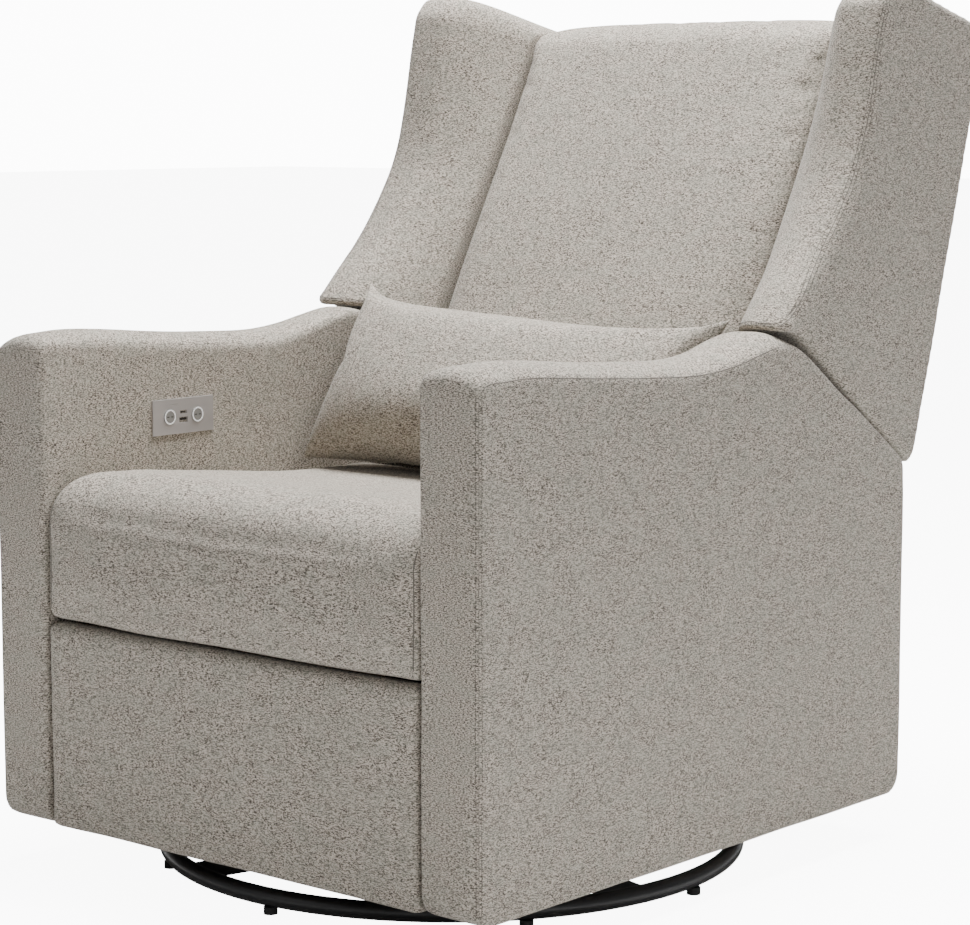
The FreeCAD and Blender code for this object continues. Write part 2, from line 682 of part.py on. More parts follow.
def wing_profiles():
    """Outer and inner side views of a wing, corner for corner."""
    top = S.overall_height
    corner = top - S.rear_corner_drop
    slope_y = S.arm_shoulder_y + 29
    slope_z = S.arm_front_height - 25
    lift = S.wing_lift
    front = [(-12, 650), (27, 680), (97, 775), (140, 838), (161, 906), (183, 981), (197, 1022)]
    outer = []
    inner = []
    for y, z in front:
        level = top - 1043 + z if z > 700 else S.arm_front_height - 637 + z
        outer.append((S.arm_shoulder_y + y, level))
        inner_level = level if z < 1000 else S.back_top - 5
        inner.append((back_front(inner_level), inner_level))
    crown = [(212, 3), (230, 0), (277, 9), (384, 40), (415, 53)]
    for i, (y, drop) in enumerate(crown):
        outer.append((S.arm_shoulder_y + y, top - drop))
        inner.append((back_front(S.back_top) + 8 + i * 26, S.back_top - i))
    shared = [(back_rear(corner), corner), (back_rear(dim(511)), dim(511)),
              (S.rear_foot_y, S.rear_foot_z), (S.arm_rear + 4, S.arm_rear_height + lift),
              (slope_y + 3, slope_z + lift), (S.arm_shoulder_y + 12, S.arm_front_height + lift + 4)]
    outer += shared
    inner += shared[:-2]
    inner += [(back_front(S.arm_front_height - 6) + 20, S.arm_front_height - 12),
              (back_front(S.arm_front_height - 6) + 8, S.arm_front_height - 6)]
    return outer, inner


def make_wing(side):
    outer, inner = wing_profiles()
    sign = -1 if side == "left" else 1
    body = new_body("wing_" + side)
    levels = [S.back_half, half_width - S.wing_front_thick, half_width]
    sketches = []
    for level, points in zip(levels, (inner, outer, outer)):
        sketch = new_sketch(body, "YZ", sign * level)
        draw_outline(sketch, points)
        sketches.append(sketch)
    loft = body.newObject("PartDesign::AdditiveLoft", body.Name + "_loft")
    loft.Profile = sketches[0]
    loft.Sections = sketches[1:]
    loft.Ruled = True


def make_back():
    top = S.back_top
    half = S.back_half - S.soft_gap
    lower_half = arm_inner - S.back_side_gap
    foot = S.seat_rear_height + 4
    shoulder = S.arm_front_height - 39
    waist = S.arm_rear_height + 67
    thick = S.cushion_thick
    cushion = new_body("back_cushion")
    front_low = (back_front(foot), foot)
    add_pad(cushion, "YZ", -half, half,
            outlines=[[front_low, (back_front(foot) + thick, foot),
                       (back_front(top - 15) + thick - 30, top - 15),
                       (back_front(top) + 40, top), (back_front(top - 15), top - 15)]])
    add_pad(cushion, "YZ", -lower_half, lower_half,
            outlines=[[front_low, (back_front(foot) + thick, foot),
                       (back_front(waist) + thick - 27, waist), (back_front(shoulder), shoulder)]])

    skin = S.outer_back_thick
    rear_low = S.arm_rear - 9
    hem = S.back_pivot_z - 23
    outer = new_body("outer_back")
    upper = [(back_rear(top - 22), top - 22), (back_rear(top - 22) - skin, top - 22),
             (S.rear_foot_y - skin, S.rear_foot_z), (rear_low - skin, S.rear_foot_z - 34),
             (rear_low, S.rear_foot_z - 34), (S.rear_foot_y, S.rear_foot_z)]
    add_pad(outer, "YZ", -half, half, outlines=[upper])
    lower = [(rear_low, hem), (rear_low, S.arm_rear_height - 23),
             (rear_low - skin, S.arm_rear_height - 23), (rear_low - skin, hem)]
    add_pad(outer, "YZ", -lower_half, lower_half, outlines=[lower])

    slab = S.frame_slab
    bend_z = S.rear_foot_z
    low_y = back_front(bend_z) + thick + S.soft_gap
    top_y = back_rear(top - 26) - skin - slab - S.soft_gap
    frame = [(low_y, S.back_pivot_z + 55), (low_y + slab, S.back_pivot_z + 55),
             (low_y + slab, bend_z), (top_y + slab, top - 26), (top_y, top - 26), (low_y, bend_z)]
    padded("back_frame", "YZ", -bracket_inner, bracket_inner, outlines=[frame])
    py = S.back_pivot_y
    pz = S.back_pivot_z
    bracket = [(py - 16, pz - 14), (py + 16, pz - 14), (py + 18, pz + 20), (low_y + slab + 4, bend_z),
               (low_y + 2, bend_z), (py - 20, pz + 30)]
    hole = (py, pz, S.back_pin_radius + S.running_fit)
    for side, low, high in both_sides(bracket_inner, bracket_outer):
        padded("back_bracket_" + side, "YZ", low, high, outlines=[bracket], circles=[hole])
    make_wing("left")
    make_wing("right")


def make_pillow():
    """A leaning lens with a flattened foot on the seat; its face follows the back."""
    foot_y = S.pillow_foot_y
    shape = [(0.0, 0.78), (0.12, 0.95), (0.35, 1.0), (0.6, 0.85), (0.82, 0.5), (0.96, 0.18), (1.0, 0.04)]
    points = []
    for sign in (1, -1):
        row = shape if sign > 0 else reversed(shape)
        for along, across in row:
            y = foot_y + along * S.pillow_lean + sign * across * S.pillow_thick / 2
            seat = seat_height(y if along == 0 else foot_y)
            points.append((y, seat + S.soft_gap + along * S.pillow_height))
    padded("lumbar_pillow", "YZ", -S.pillow_half_width, S.pillow_half_width, outlines=[points])


make_base()
make_turntable()
make_swing_links()
make_chassis()
make_seat()
make_arms()
make_controls()
make_legrest()
make_actuator()
make_back()
make_pillow()
doc.recompute()

for item in doc.Objects:
    if "Invalid" in item.State or "Error" in item.State:
        raise RuntimeError("%s did not compute: %s" % (item.Label, item.State))
for label, item in subparts.items():
    if item.Shape.isNull() or not item.Shape.isValid() or not item.Shape.Solids:
        raise RuntimeError("%s has no valid solid" % label)

os.makedirs("parts", exist_ok=True)
for label, item in subparts.items():
    item.Shape.exportStep("parts/%s.step" % label)
print("wrote %d sub-parts" % len(subparts))
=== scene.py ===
# %% [markdown]
# # A power-reclining glider nursery chair
# The mechanism is ready-made and fixed: every moving part is loaded from the frame. This lesson
# dresses it. Each soft piece is shaped, inflated with a cloth simulation where it is stuffed, sewn
# with real stitches and given a heathered woven fabric.

# %% Load the frame
import json
import math
import bmesh
import bpy
import numpy as np
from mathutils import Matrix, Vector, noise
from mathutils.bvhtree import BVHTree


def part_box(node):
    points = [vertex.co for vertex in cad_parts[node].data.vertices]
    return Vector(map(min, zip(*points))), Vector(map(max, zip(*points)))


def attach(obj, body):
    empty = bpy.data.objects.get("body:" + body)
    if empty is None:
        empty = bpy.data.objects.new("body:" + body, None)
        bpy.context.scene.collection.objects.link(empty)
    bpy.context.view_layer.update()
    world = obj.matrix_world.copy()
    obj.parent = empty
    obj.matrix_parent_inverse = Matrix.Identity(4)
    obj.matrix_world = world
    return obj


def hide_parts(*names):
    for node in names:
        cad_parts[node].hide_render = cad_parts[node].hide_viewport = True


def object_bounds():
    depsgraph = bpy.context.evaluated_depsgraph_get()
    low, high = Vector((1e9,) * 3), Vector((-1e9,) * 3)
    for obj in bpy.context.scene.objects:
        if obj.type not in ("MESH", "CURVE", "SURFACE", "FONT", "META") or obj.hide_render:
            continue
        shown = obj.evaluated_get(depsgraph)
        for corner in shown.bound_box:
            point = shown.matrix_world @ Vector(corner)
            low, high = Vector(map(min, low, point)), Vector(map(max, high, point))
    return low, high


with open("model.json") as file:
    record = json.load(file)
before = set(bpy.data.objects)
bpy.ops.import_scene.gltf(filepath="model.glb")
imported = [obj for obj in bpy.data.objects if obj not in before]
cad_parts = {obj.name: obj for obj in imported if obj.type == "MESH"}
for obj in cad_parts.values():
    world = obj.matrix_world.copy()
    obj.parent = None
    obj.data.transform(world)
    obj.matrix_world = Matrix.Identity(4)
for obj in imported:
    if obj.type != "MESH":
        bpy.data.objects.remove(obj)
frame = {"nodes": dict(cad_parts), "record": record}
cad_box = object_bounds()
scene = bpy.context.scene
MM = 0.001

# %% [markdown]
# ## Where things are
# Every place comes from the frame's own boxes. Side views are drawn in millimetres about the swivel
# axis, which is the middle of the base ring, with heights above the floor.

# %% Key places
ring_low, ring_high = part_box("base_ring")
arm_low, arm_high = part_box("arm_cover_right")
SWIVEL_Y = (ring_low[1] + ring_high[1]) / 2
HALF_WIDTH = arm_high[0] / MM
ARM_INNER = arm_low[0] / MM
FRONT = (arm_low[1] - SWIVEL_Y) / MM
ARM_PADDING = 6
ARM_REAR = (arm_high[1] - SWIVEL_Y) / MM + ARM_PADDING
HEM = arm_low[2] / MM
BACK_HALF = 250.0
SIGNS = {"left": -1, "right": 1}
print("swivel at y = %.4f m, arm from %.0f to %.0f mm" % (SWIVEL_Y, ARM_INNER, HALF_WIDTH))


def node_mm(node):
    """A node's box in millimetres about the swivel axis."""
    low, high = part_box(node)
    shift = Vector((0, SWIVEL_Y, 0))
    return (Vector(low) - shift) / MM, (Vector(high) - shift) / MM


def metres(x, y, z):
    return Vector((x * MM, SWIVEL_Y + y * MM, z * MM))


# %% [markdown]
# ## Drawing helpers
# An outline is a few points with a smooth curve through them, and arcs at the corners. The curve is
# a Catmull-Rom spline, because it passes through the points that were chosen.

# %% Curves through points
def smooth_path(points, step=6.0):
    """Samples a Catmull-Rom curve through the points about every step."""
    points = [np.array(p, float) for p in points]
    ends = [2 * points[0] - points[1]] + points + [2 * points[-1] - points[-2]]
    result = []
    for before, start, stop, after in zip(ends, ends[1:], ends[2:], ends[3:]):
        count = max(2, int(np.linalg.norm(stop - start) / step))
        for k in range(count):
            t = k / count
            result.append(0.5 * (2 * start + (stop - before) * t
                                 + (2 * before - 5 * start + 4 * stop - after) * t ** 2
                                 + (3 * start - before - 3 * stop + after) * t ** 3))
    result.append(points[-1])
    return result


def arc(centre, radius, start, stop, count=8):
    """Points of an arc, from one angle to another in degrees."""
    angles = np.radians(np.linspace(start, stop, count))
    return [np.array((centre[0] + radius * math.cos(a), centre[1] + radius * math.sin(a)))
            for a in angles]


def line(start, stop, step=12.0):
    start, stop = np.array(start, float), np.array(stop, float)
    count = max(2, int(np.linalg.norm(stop - start) / step))
    return [start + (stop - start) * k / count for k in range(count)]


def chain(corners, step=12.0):
    """Straight lines from corner to corner, without the last corner itself."""
    return [point for a, b in zip(corners, corners[1:]) for point in line(a, b, step)]


def outward_normals(outline):
    """Unit normals of a closed outline that runs anticlockwise."""
    pts = np.array(outline)
    tangent = np.roll(pts, -1, axis=0) - np.roll(pts, 1, axis=0)
    normal = np.stack((tangent[:, 1], -tangent[:, 0]), axis=1)
    return normal / np.maximum(np.linalg.norm(normal, axis=1), 1e-9)[:, None]


# %% [markdown]
# ## Mesh helpers
# A soft piece starts as a loft of closed sections, then goes through a voxel remesh, which gives an
# even skin of small squares that folds and swells well.

# %% Lofts and remeshing
def add_object(name, data):
    item = bpy.data.objects.new(name, data)
    scene.collection.objects.link(item)
    return item


def new_piece(name, verts, faces):
    mesh = bpy.data.meshes.new(name)
    mesh.from_pydata([tuple(v) for v in verts], [], faces)
    mesh.update()
    return add_object(name, mesh)


def shade(piece, smooth):
    for polygon in piece.data.polygons:
        polygon.use_smooth = smooth


def loft(name, sections):
    """Joins closed sections of equal length and closes both ends."""
    count = len(sections[0])
    verts = [v for section in sections for v in section]
    faces = []
    for i in range(len(sections) - 1):
        for k in range(count):
            a, b = i * count + k, i * count + (k + 1) % count
            faces.append((a, b, b + count, a + count))
    faces.append(tuple(range(count)))
    last = (len(sections) - 1) * count
    faces.append(tuple(range(last + count - 1, last - 1, -1)))
    piece = new_piece(name, verts, faces)
    fix_normals(piece)
    return piece


def fix_normals(piece):
    shape = bmesh.new()
    shape.from_mesh(piece.data)
    bmesh.ops.recalc_face_normals(shape, faces=shape.faces)
    shape.to_mesh(piece.data)
    shape.free()


def bake_modifiers(piece):
    """Turns what the modifiers show into the piece's own mesh."""
    graph = bpy.context.evaluated_depsgraph_get()
    mesh = bpy.data.meshes.new_from_object(piece.evaluated_get(graph))
    piece.modifiers.clear()
    piece.data = mesh
    shade(piece, True)


def even_skin(piece, voxel=5.0, soften=4):
    """Voxel remesh, then a little smoothing of its steps."""
    remesh = piece.modifiers.new("remesh", "REMESH")
    remesh.mode = "VOXEL"
    remesh.voxel_size = voxel * MM
    smooth = piece.modifiers.new("smooth", "SMOOTH")
    smooth.factor = 0.5
    smooth.iterations = soften
    bake_modifiers(piece)


def read_points(piece, kind="co"):
    """All the places of a mesh's points, or with kind="normal" their normals."""
    values = np.empty(len(piece.data.vertices) * 3, dtype=np.float32)
    piece.data.vertices.foreach_get(kind, values)
    return values.reshape(-1, 3).astype(float)


def write_points(piece, points):
    piece.data.vertices.foreach_set("co", points.astype(np.float32).ravel())
    piece.data.update()


def uneven(piece, depth, wavelength, seed):
    """Hand-made unevenness: slow bumps along the normals."""
    points = read_points(piece)
    normals = read_points(piece, "normal")
    shift = Vector((seed * 3.7, seed * 1.9, seed * 5.3))
    lift = np.array([noise.noise(Vector(p) / (wavelength * MM) + shift) for p in points])
    write_points(piece, points + normals * (lift * depth * MM)[:, None])


# %% [markdown]
# ## Stuffing
# Foam under a sewn cover pushes outwards evenly, so a cloth simulation with air pressure and no
# gravity gives the right crown and the small puckers at the seams. The movement of each point is
# capped, so that a cushion keeps the size it was cut to.

# %% Cloth inflation
PRESSURE, FRAMES = 4.0, 20


def inflate(piece, cap):
    """Swells a piece by cloth pressure and moves no point further than cap, in mm."""
    start = read_points(piece)
    cloth = piece.modifiers.new("cloth", "CLOTH")
    cloth.settings.use_pressure = True
    cloth.settings.uniform_pressure_force = PRESSURE
    cloth.settings.effector_weights.gravity = 0
    cloth.settings.quality = 4
    cloth.point_cache.frame_start = 1
    cloth.point_cache.frame_end = FRAMES
    for number in range(1, FRAMES + 1):
        scene.frame_set(number)
    graph = bpy.context.evaluated_depsgraph_get()
    points = read_points(piece.evaluated_get(graph))
    piece.modifiers.clear()
    scene.frame_set(1)
    move = points - start
    distance = np.maximum(np.linalg.norm(move, axis=1), 1e-9)
    allowed = cap * MM * np.tanh(distance / (cap * MM))
    points = start + move * (allowed / distance)[:, None]
    write_points(piece, points)
    print(piece.name, "swelled by up to %.1f mm" % (allowed.max() / MM))


def keep_inside(piece, low=(-9, -9, -9), high=(9, 9, 9)):
    """Flattens a piece against the planes it rests on; limits are in metres."""
    write_points(piece, np.clip(read_points(piece), low, high))


def subdivide(piece):
    finer = piece.modifiers.new("finer", "SUBSURF")
    finer.levels = 1
    finer.render_levels = 1
    bake_modifiers(piece)


# %% [markdown]
# ## A box cushion from its side view
# Arms, seat, back and leg rest are all a side view carried across the chair. The section is drawn in
# towards both ends, so that the edges are round, and lifted in the middle, so that the top is
# crowned.

# %% Side-view extrusion
def round_off(edge, corner):
    """How far a rounded corner lies inside a sharp one, at a distance from the edge."""
    if edge >= corner:
        return 0.0
    return corner - math.sqrt(max(corner ** 2 - (corner - edge) ** 2, 0))


def crossed(name, outline, low, high, corner, crown, top_corner=None):
    """Carries an outline from x = low to x = high. crown(index, t) lifts it outwards, in mm."""
    normals = outward_normals(outline)
    width = high - low
    widest = max(corner, top_corner or corner)
    ends = [widest * (1 - math.cos(a)) for a in np.linspace(0, math.pi / 2, 7)]
    middle = list(np.linspace(widest, width - widest, 18))[1:-1]
    stations = ends + middle + [width - e for e in reversed(ends)]
    radii = [corner + ((top_corner or corner) - corner) * max(n[1], 0) for n in normals]
    sections = []
    for distance in stations:
        edge = min(distance, width - distance)
        t = distance / width
        section = []
        for index, (point, normal) in enumerate(zip(outline, normals)):
            lift = crown(index, t) - round_off(edge, radii[index])
            section.append(metres(low + distance, point[0] + normal[0] * lift,
                                  point[1] + normal[1] * lift))
        sections.append(section)
    return loft(name, sections)


def dome(t, power=2.6):
    """1 in the middle, 0 at both ends."""
    return 1 - abs(2 * t - 1) ** power


# %% [markdown]
# ## Heathered fabric
# The cover is a plain weave of mixed yarns. Close to, it shows short dark and light flecks that run
# along the cloth; further off it is an even warm grey with faint cool patches. One node group makes
# the colours and heights, and every fabric places it with its own values.

# %% Node helpers
def add_node(tree, kind, **values):
    node = tree.nodes.new(kind)
    for key, value in values.items():
        setattr(node, key, value)
    return node


def feed(tree, sockets, values):
    """Gives each socket its value: a number, a colour, or another node's output."""
    for socket, value in zip(sockets, values):
        if isinstance(value, (int, float, tuple)):
            socket.default_value = value
        else:
            tree.links.new(value, socket)


def set_inputs(tree, node, **values):
    """The same by name, with a low line for each space in the socket's name."""
    names = [name.replace("_", " ") for name in values]
    feed(tree, [node.inputs[name] for name in names], values.values())


def arithmetic(tree, operation, first, second=0.0):
    node = add_node(tree, "ShaderNodeMath", operation=operation)
    feed(tree, node.inputs, (first, second))
    return node.outputs[0]


def times(tree, first, second):
    return arithmetic(tree, "MULTIPLY", first, second)


def mix_colours(tree, amount, first, second):
    node = add_node(tree, "ShaderNodeMix", data_type="RGBA")
    feed(tree, (node.inputs[0], node.inputs[6], node.inputs[7]), (amount, first, second))
    return node.outputs[2]


def stretched_noise(tree, source, stretch, scale, detail=2.0, rough=0.5):
    mapping = add_node(tree, "ShaderNodeMapping")
    set_inputs(tree, mapping, Scale=stretch, Vector=source)
    cloud = add_node(tree, "ShaderNodeTexNoise")
    set_inputs(tree, cloud, Scale=scale, Detail=detail, Roughness=rough, Vector=mapping.outputs[0])
    return cloud.outputs["Fac"]


def ramp(tree, source, low, high):
    """0 below low, 1 above high."""
    node = add_node(tree, "ShaderNodeMapRange")
    set_inputs(tree, node, From_Min=low, From_Max=high, Value=source)
    return node.outputs[0]


def new_group(name, inputs, outputs):
    """A shader group with its sockets. Returns the group, its input node and its output node."""
    group = bpy.data.node_groups.new(name, "ShaderNodeTree")
    for label, kind, value in inputs:
        socket = group.interface.new_socket(label, in_out="INPUT", socket_type="NodeSocket" + kind)
        socket.default_value = value
    for label, kind in outputs:
        group.interface.new_socket(label, in_out="OUTPUT", socket_type="NodeSocket" + kind)
    return group, add_node(group, "NodeGroupInput"), add_node(group, "NodeGroupOutput")


def new_material(name):
    material = bpy.data.materials.new(name)
    material.use_nodes = True
    return material, material.node_tree, material.node_tree.nodes["Principled BSDF"]


def add_relief(tree, shader, height, strength, distance):
    relief = add_node(tree, "ShaderNodeBump")
    set_inputs(tree, relief, Strength=strength, Distance=distance, Height=height)
    tree.links.new(relief.outputs["Normal"], shader.inputs["Normal"])


# %% [markdown]
# ## The weave
# Two fine noises stand for weft and warp, a long one for thick slubs in the yarn and a slow one for
# the cool patches. Their sum runs from the dark yarn's colour to the light yarn's.

# %% The weave group
def mix_values(tree, amount, first, second):
    node = add_node(tree, "ShaderNodeMix", data_type="FLOAT")
    feed(tree, node.inputs[:1] + node.inputs[2:4], (amount, first, second))
    return node.outputs[0]


def make_weave_group():
    group, start, finish = new_group(
        "heather_weave",
        (("Position", "Vector", (0, 0, 0)), ("Facing", "Vector", (0, 0, 0)),
         ("Light yarn", "Color", (0.6, 0.57, 0.53, 1)), ("Dark yarn", "Color", (0.3, 0.28, 0.25, 1)),
         ("Cool yarn", "Color", (0.5, 0.52, 0.49, 1)), ("Contrast", "Float", 1.0)),
        (("Color", "Color"), ("Height", "Float")))
    place = start.outputs["Position"]
    # Weft yarns lie level, so a fleck is wide and low on a standing face. On a lying face it is
    # short from front to back instead.
    split = add_node(group, "ShaderNodeSeparateXYZ")
    group.links.new(start.outputs["Facing"], split.inputs[0])
    lying = ramp(group, arithmetic(group, "ABSOLUTE", split.outputs["Z"]), 0.6, 0.85)
    weft = mix_values(group, lying,
                      stretched_noise(group, place, (1.0, 1.0, 3.8), 300.0, 2.0, 0.55),
                      stretched_noise(group, place, (1.0, 2.8, 1.0), 300.0, 2.0, 0.55))
    warp = stretched_noise(group, place, (1.0, 1.0, 2.0), 520.0, 1.0, 0.5)
    slub = mix_values(group, lying, stretched_noise(group, place, (1.0, 1.0, 9.0), 115.0, 2.0, 0.6),
                      stretched_noise(group, place, (1.0, 3.5, 1.0), 120.0, 2.0, 0.6))
    cloudy = stretched_noise(group, place, (1.0, 1.0, 1.6), 36.0, 3.0, 0.6)
    mixed = arithmetic(group, "ADD", times(group, weft, 0.55),
                       times(group, warp, 0.45))
    centred = arithmetic(group, "SUBTRACT", mixed, 0.5)
    level = arithmetic(group, "ADD", times(group, centred, start.outputs["Contrast"]),
                       0.5)
    light = ramp(group, level, 0.14, 0.84)
    yarn = mix_colours(group, light, start.outputs["Dark yarn"], start.outputs["Light yarn"])
    cool = times(group, ramp(group, cloudy, 0.42, 0.62), 0.26)
    tinted = mix_colours(group, cool, yarn, start.outputs["Cool yarn"])
    dark_slub = times(group, ramp(group, slub, 0.55, 0.7), 0.24)
    final = mix_colours(group, dark_slub, tinted, start.outputs["Dark yarn"])
    group.links.new(final, finish.inputs["Color"])
    height = arithmetic(group, "ADD", times(group, weft, 0.6),
                        times(group, warp, 0.4))
    group.links.new(height, finish.inputs["Height"])
    return group


weave_group = make_weave_group()


def fabric_finish(name, light, dark, cool, contrast, bump):
    material, tree, shader = new_material(name)
    where = add_node(tree, "ShaderNodeTexCoord").outputs
    weave = add_node(tree, "ShaderNodeGroup", node_tree=weave_group)
    set_inputs(tree, weave, Light_yarn=light, Dark_yarn=dark, Cool_yarn=cool, Contrast=contrast,
               Position=where["Object"], Facing=where["Normal"])
    set_inputs(tree, shader, Base_Color=weave.outputs["Color"], Roughness=0.92,
               Specular_IOR_Level=0.25, Sheen_Weight=0.12, Sheen_Roughness=0.5)
    add_relief(tree, shader, weave.outputs["Height"], bump, 0.6 * MM)
    return material


COVER = fabric_finish("heathered_cover", (0.58, 0.515, 0.438, 1), (0.065, 0.054, 0.043, 1),
                      (0.32, 0.33, 0.275, 1), contrast=5.2, bump=0.4)
# The stitch colour is partly the thread's own and partly painted shade: it is dark so that each
# stitch also carries its own small shadow.
THREAD_WITH_PAINTED_SHADE = fabric_finish("seam_thread_painted_shade", (0.16, 0.14, 0.12, 1), (0.06, 0.052, 0.044, 1),
                       (0.1, 0.1, 0.09, 1), contrast=0.8, bump=0.2)
# The seam fold colours are painted shade: a darker copy of the cover that stands for the shade in
# each seam's groove.
SHADOW_SEAM = fabric_finish("seam_fold_painted_shade", (0.2, 0.18, 0.155, 1), (0.09, 0.08, 0.068, 1),
                            (0.12, 0.12, 0.11, 1), contrast=0.8, bump=0.1)
print("fabrics:", COVER.name, THREAD_WITH_PAINTED_SHADE.name)


# %% [markdown]
# ## Hard finishes
# Painted steel, zinc, plastic, timber and rubber differ in colour, gloss and grain. One group adds a
# fine mottle and slow rubbed patches; each finish keeps its own shader.

# %% Hard finish group
def make_wear_group():
    group, start, finish = new_group(
        "rubbed_surface",
        (("Position", "Vector", (0, 0, 0)), ("Base", "Color", (0.5, 0.5, 0.5, 1)),
         ("Worn", "Color", (0.7, 0.7, 0.7, 1)), ("Grain scale", "Float", 300.0),
         ("Roughness", "Float", 0.4)),
        (("Color", "Color"), ("Roughness", "Float"), ("Height", "Float")))
    grain = add_node(group, "ShaderNodeTexNoise")
    set_inputs(group, grain, Detail=4, Vector=start.outputs["Position"],
               Scale=start.outputs["Grain scale"])
    slow = stretched_noise(group, start.outputs["Position"], (1, 1, 1), 18.0, 3.0)
    rubbed = times(group, ramp(group, slow, 0.55, 0.75), 0.35)
    colour = mix_colours(group, rubbed, start.outputs["Base"], start.outputs["Worn"])
    group.links.new(colour, finish.inputs["Color"])
    change = times(group, arithmetic(group, "SUBTRACT", grain.outputs["Fac"], 0.5), 0.3)
    rough = arithmetic(group, "ADD", change, start.outputs["Roughness"])
    group.links.new(rough, finish.inputs["Roughness"])
    group.links.new(grain.outputs["Fac"], finish.inputs["Height"])
    return group


wear_group = make_wear_group()


def hard_finish(name, base, worn, roughness, metallic=0.0, grain=300.0, bump=0.05, stretch=(1, 1, 1)):
    material, tree, shader = new_material(name)
    where = add_node(tree, "ShaderNodeTexCoord")
    mapping = add_node(tree, "ShaderNodeMapping")
    set_inputs(tree, mapping, Scale=stretch, Vector=where.outputs["Object"])
    wear = add_node(tree, "ShaderNodeGroup", node_tree=wear_group)
    set_inputs(tree, wear, Base=base, Worn=worn, Grain_scale=grain, Roughness=roughness,
               Position=mapping.outputs[0])
    set_inputs(tree, shader, Metallic=metallic, Base_Color=wear.outputs["Color"],
               Roughness=wear.outputs["Roughness"])
    add_relief(tree, shader, wear.outputs["Height"], bump, 0.4 * MM)
    return material


FINISHES = {
    "black_steel": hard_finish("black_powder_coat", (0.012, 0.012, 0.013, 1), (0.03, 0.03, 0.03, 1),
                               0.33, grain=900.0, bump=0.12),
    "mechanism_steel": hard_finish("oiled_pressed_steel", (0.05, 0.05, 0.053, 1),
                                   (0.11, 0.11, 0.11, 1), 0.38, metallic=0.7, grain=400.0),
    "zinc_steel": hard_finish("zinc_plate", (0.55, 0.55, 0.53, 1), (0.68, 0.66, 0.6, 1), 0.3,
                              metallic=1.0, grain=500.0),
    "frame_timber": hard_finish("birch_ply", (0.55, 0.4, 0.24, 1), (0.66, 0.5, 0.33, 1), 0.6,
                                grain=60.0, bump=0.2, stretch=(1, 1, 8)),
    "foot_rubber": hard_finish("foot_rubber", (0.015, 0.015, 0.015, 1), (0.04, 0.04, 0.04, 1), 0.7,
                               grain=700.0, bump=0.1),
    "brushed_plate": hard_finish("brushed_steel_plate", (0.62, 0.6, 0.6, 1),
                                 (0.74, 0.73, 0.72, 1), 0.34, metallic=0.7, grain=420.0, bump=0.12,
                                 stretch=(1, 0.04, 3)),
    "black_plastic": hard_finish("black_plastic", (0.012, 0.012, 0.013, 1), (0.03, 0.03, 0.03, 1),
                                 0.42, grain=1200.0, bump=0.15),
}
print("hard finishes:", ", ".join(FINISHES))


# %% [markdown]
# ## Buttons
# Each round touch button is satin metal with a white lit ring just inside its rim and a short dark
# bar across the middle. The ring is a mask on the distance from the button's own centre.

# %% Button finish
def button_finish(name, centre, radius):
    material, tree, shader = new_material(name)
    where = add_node(tree, "ShaderNodeTexCoord")
    split = add_node(tree, "ShaderNodeSeparateXYZ")
    tree.links.new(where.outputs["Object"], split.inputs[0])
    across = arithmetic(tree, "SUBTRACT", split.outputs["Y"], centre[1])
    above = arithmetic(tree, "SUBTRACT", split.outputs["Z"], centre[2])
    squares = arithmetic(tree, "ADD", times(tree, across, across),
                         times(tree, above, above))
    distance = arithmetic(tree, "SQRT", squares)
    outside = arithmetic(tree, "GREATER_THAN", distance, radius * 0.8)
    inside = arithmetic(tree, "LESS_THAN", distance, radius * 0.97)
    ring = times(tree, outside, inside)
    thin = arithmetic(tree, "LESS_THAN", arithmetic(tree, "ABSOLUTE", above), radius * 0.07)
    short = arithmetic(tree, "LESS_THAN", distance, radius * 0.55)
    far = arithmetic(tree, "GREATER_THAN", arithmetic(tree, "ABSOLUTE", across), radius * 0.16)
    mark = times(tree, times(tree, thin, short), far)
    face = mix_colours(tree, mark, (0.36, 0.36, 0.35, 1), (0.1, 0.1, 0.1, 1))
    colour = mix_colours(tree, ring, face, (0.95, 0.95, 0.95, 1))
    glow = mix_colours(tree, ring, (0, 0, 0, 1), (0.9, 0.9, 0.9, 1))
    set_inputs(tree, shader, Metallic=0.6, Roughness=0.35, Base_Color=colour, Emission_Color=glow,
               Emission_Strength=0.6)
    return material


def dress(node, material):
    slots = frame["nodes"][node].material_slots
    if not slots:
        frame["nodes"][node].data.materials.append(material)
    for item in frame["nodes"][node].material_slots:
        item.material = material


# %% [markdown]
# ## Dressing the ready-made parts
# The record says which finish each part takes, so one loop does the whole mechanism.

# %% Materials of the frame
for row in frame["record"]["subparts"]:
    node, finish = row["node"], row["material_slot"]
    if finish in FINISHES:
        dress(node, FINISHES[finish])
for node in ("button_open", "button_close"):
    low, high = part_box(node)
    centre = (Vector(low) + Vector(high)) / 2
    dress(node, button_finish(node + "_face", centre, (high[2] - low[2]) / 2))

# %% [markdown]
# ## Seams and stitches
# A plain seam is a thin fold where two panels meet. It is drawn as a swept round in a darker copy of
# the cover, which is painted shade of the fold's groove. Topstitching is a row of short thread loops
# in a dark thread that also paints each stitch's small shadow. Both follow a path on the finished
# cover, so the path is dropped onto the cover first, and geometry nodes run along it: a swept round
# for the fold, and one small thread for each stitch.

# %% Paths on a cover
def cover_tree(piece):
    shape = bmesh.new()
    shape.from_mesh(piece.data)
    tree = BVHTree.FromBMesh(shape)
    shape.free()
    return tree


def drop(path, piece, direction, sink=0.0):
    """Drops each point of a path onto a cover along a direction, and sinks it a little."""
    tree = cover_tree(piece)
    along = Vector(direction).normalized()
    result = []
    for point in path:
        hit, normal, _, _ = tree.ray_cast(point - along * 0.3, along)
        if hit is not None:
            result.append(hit - normal * sink * MM)
    return result


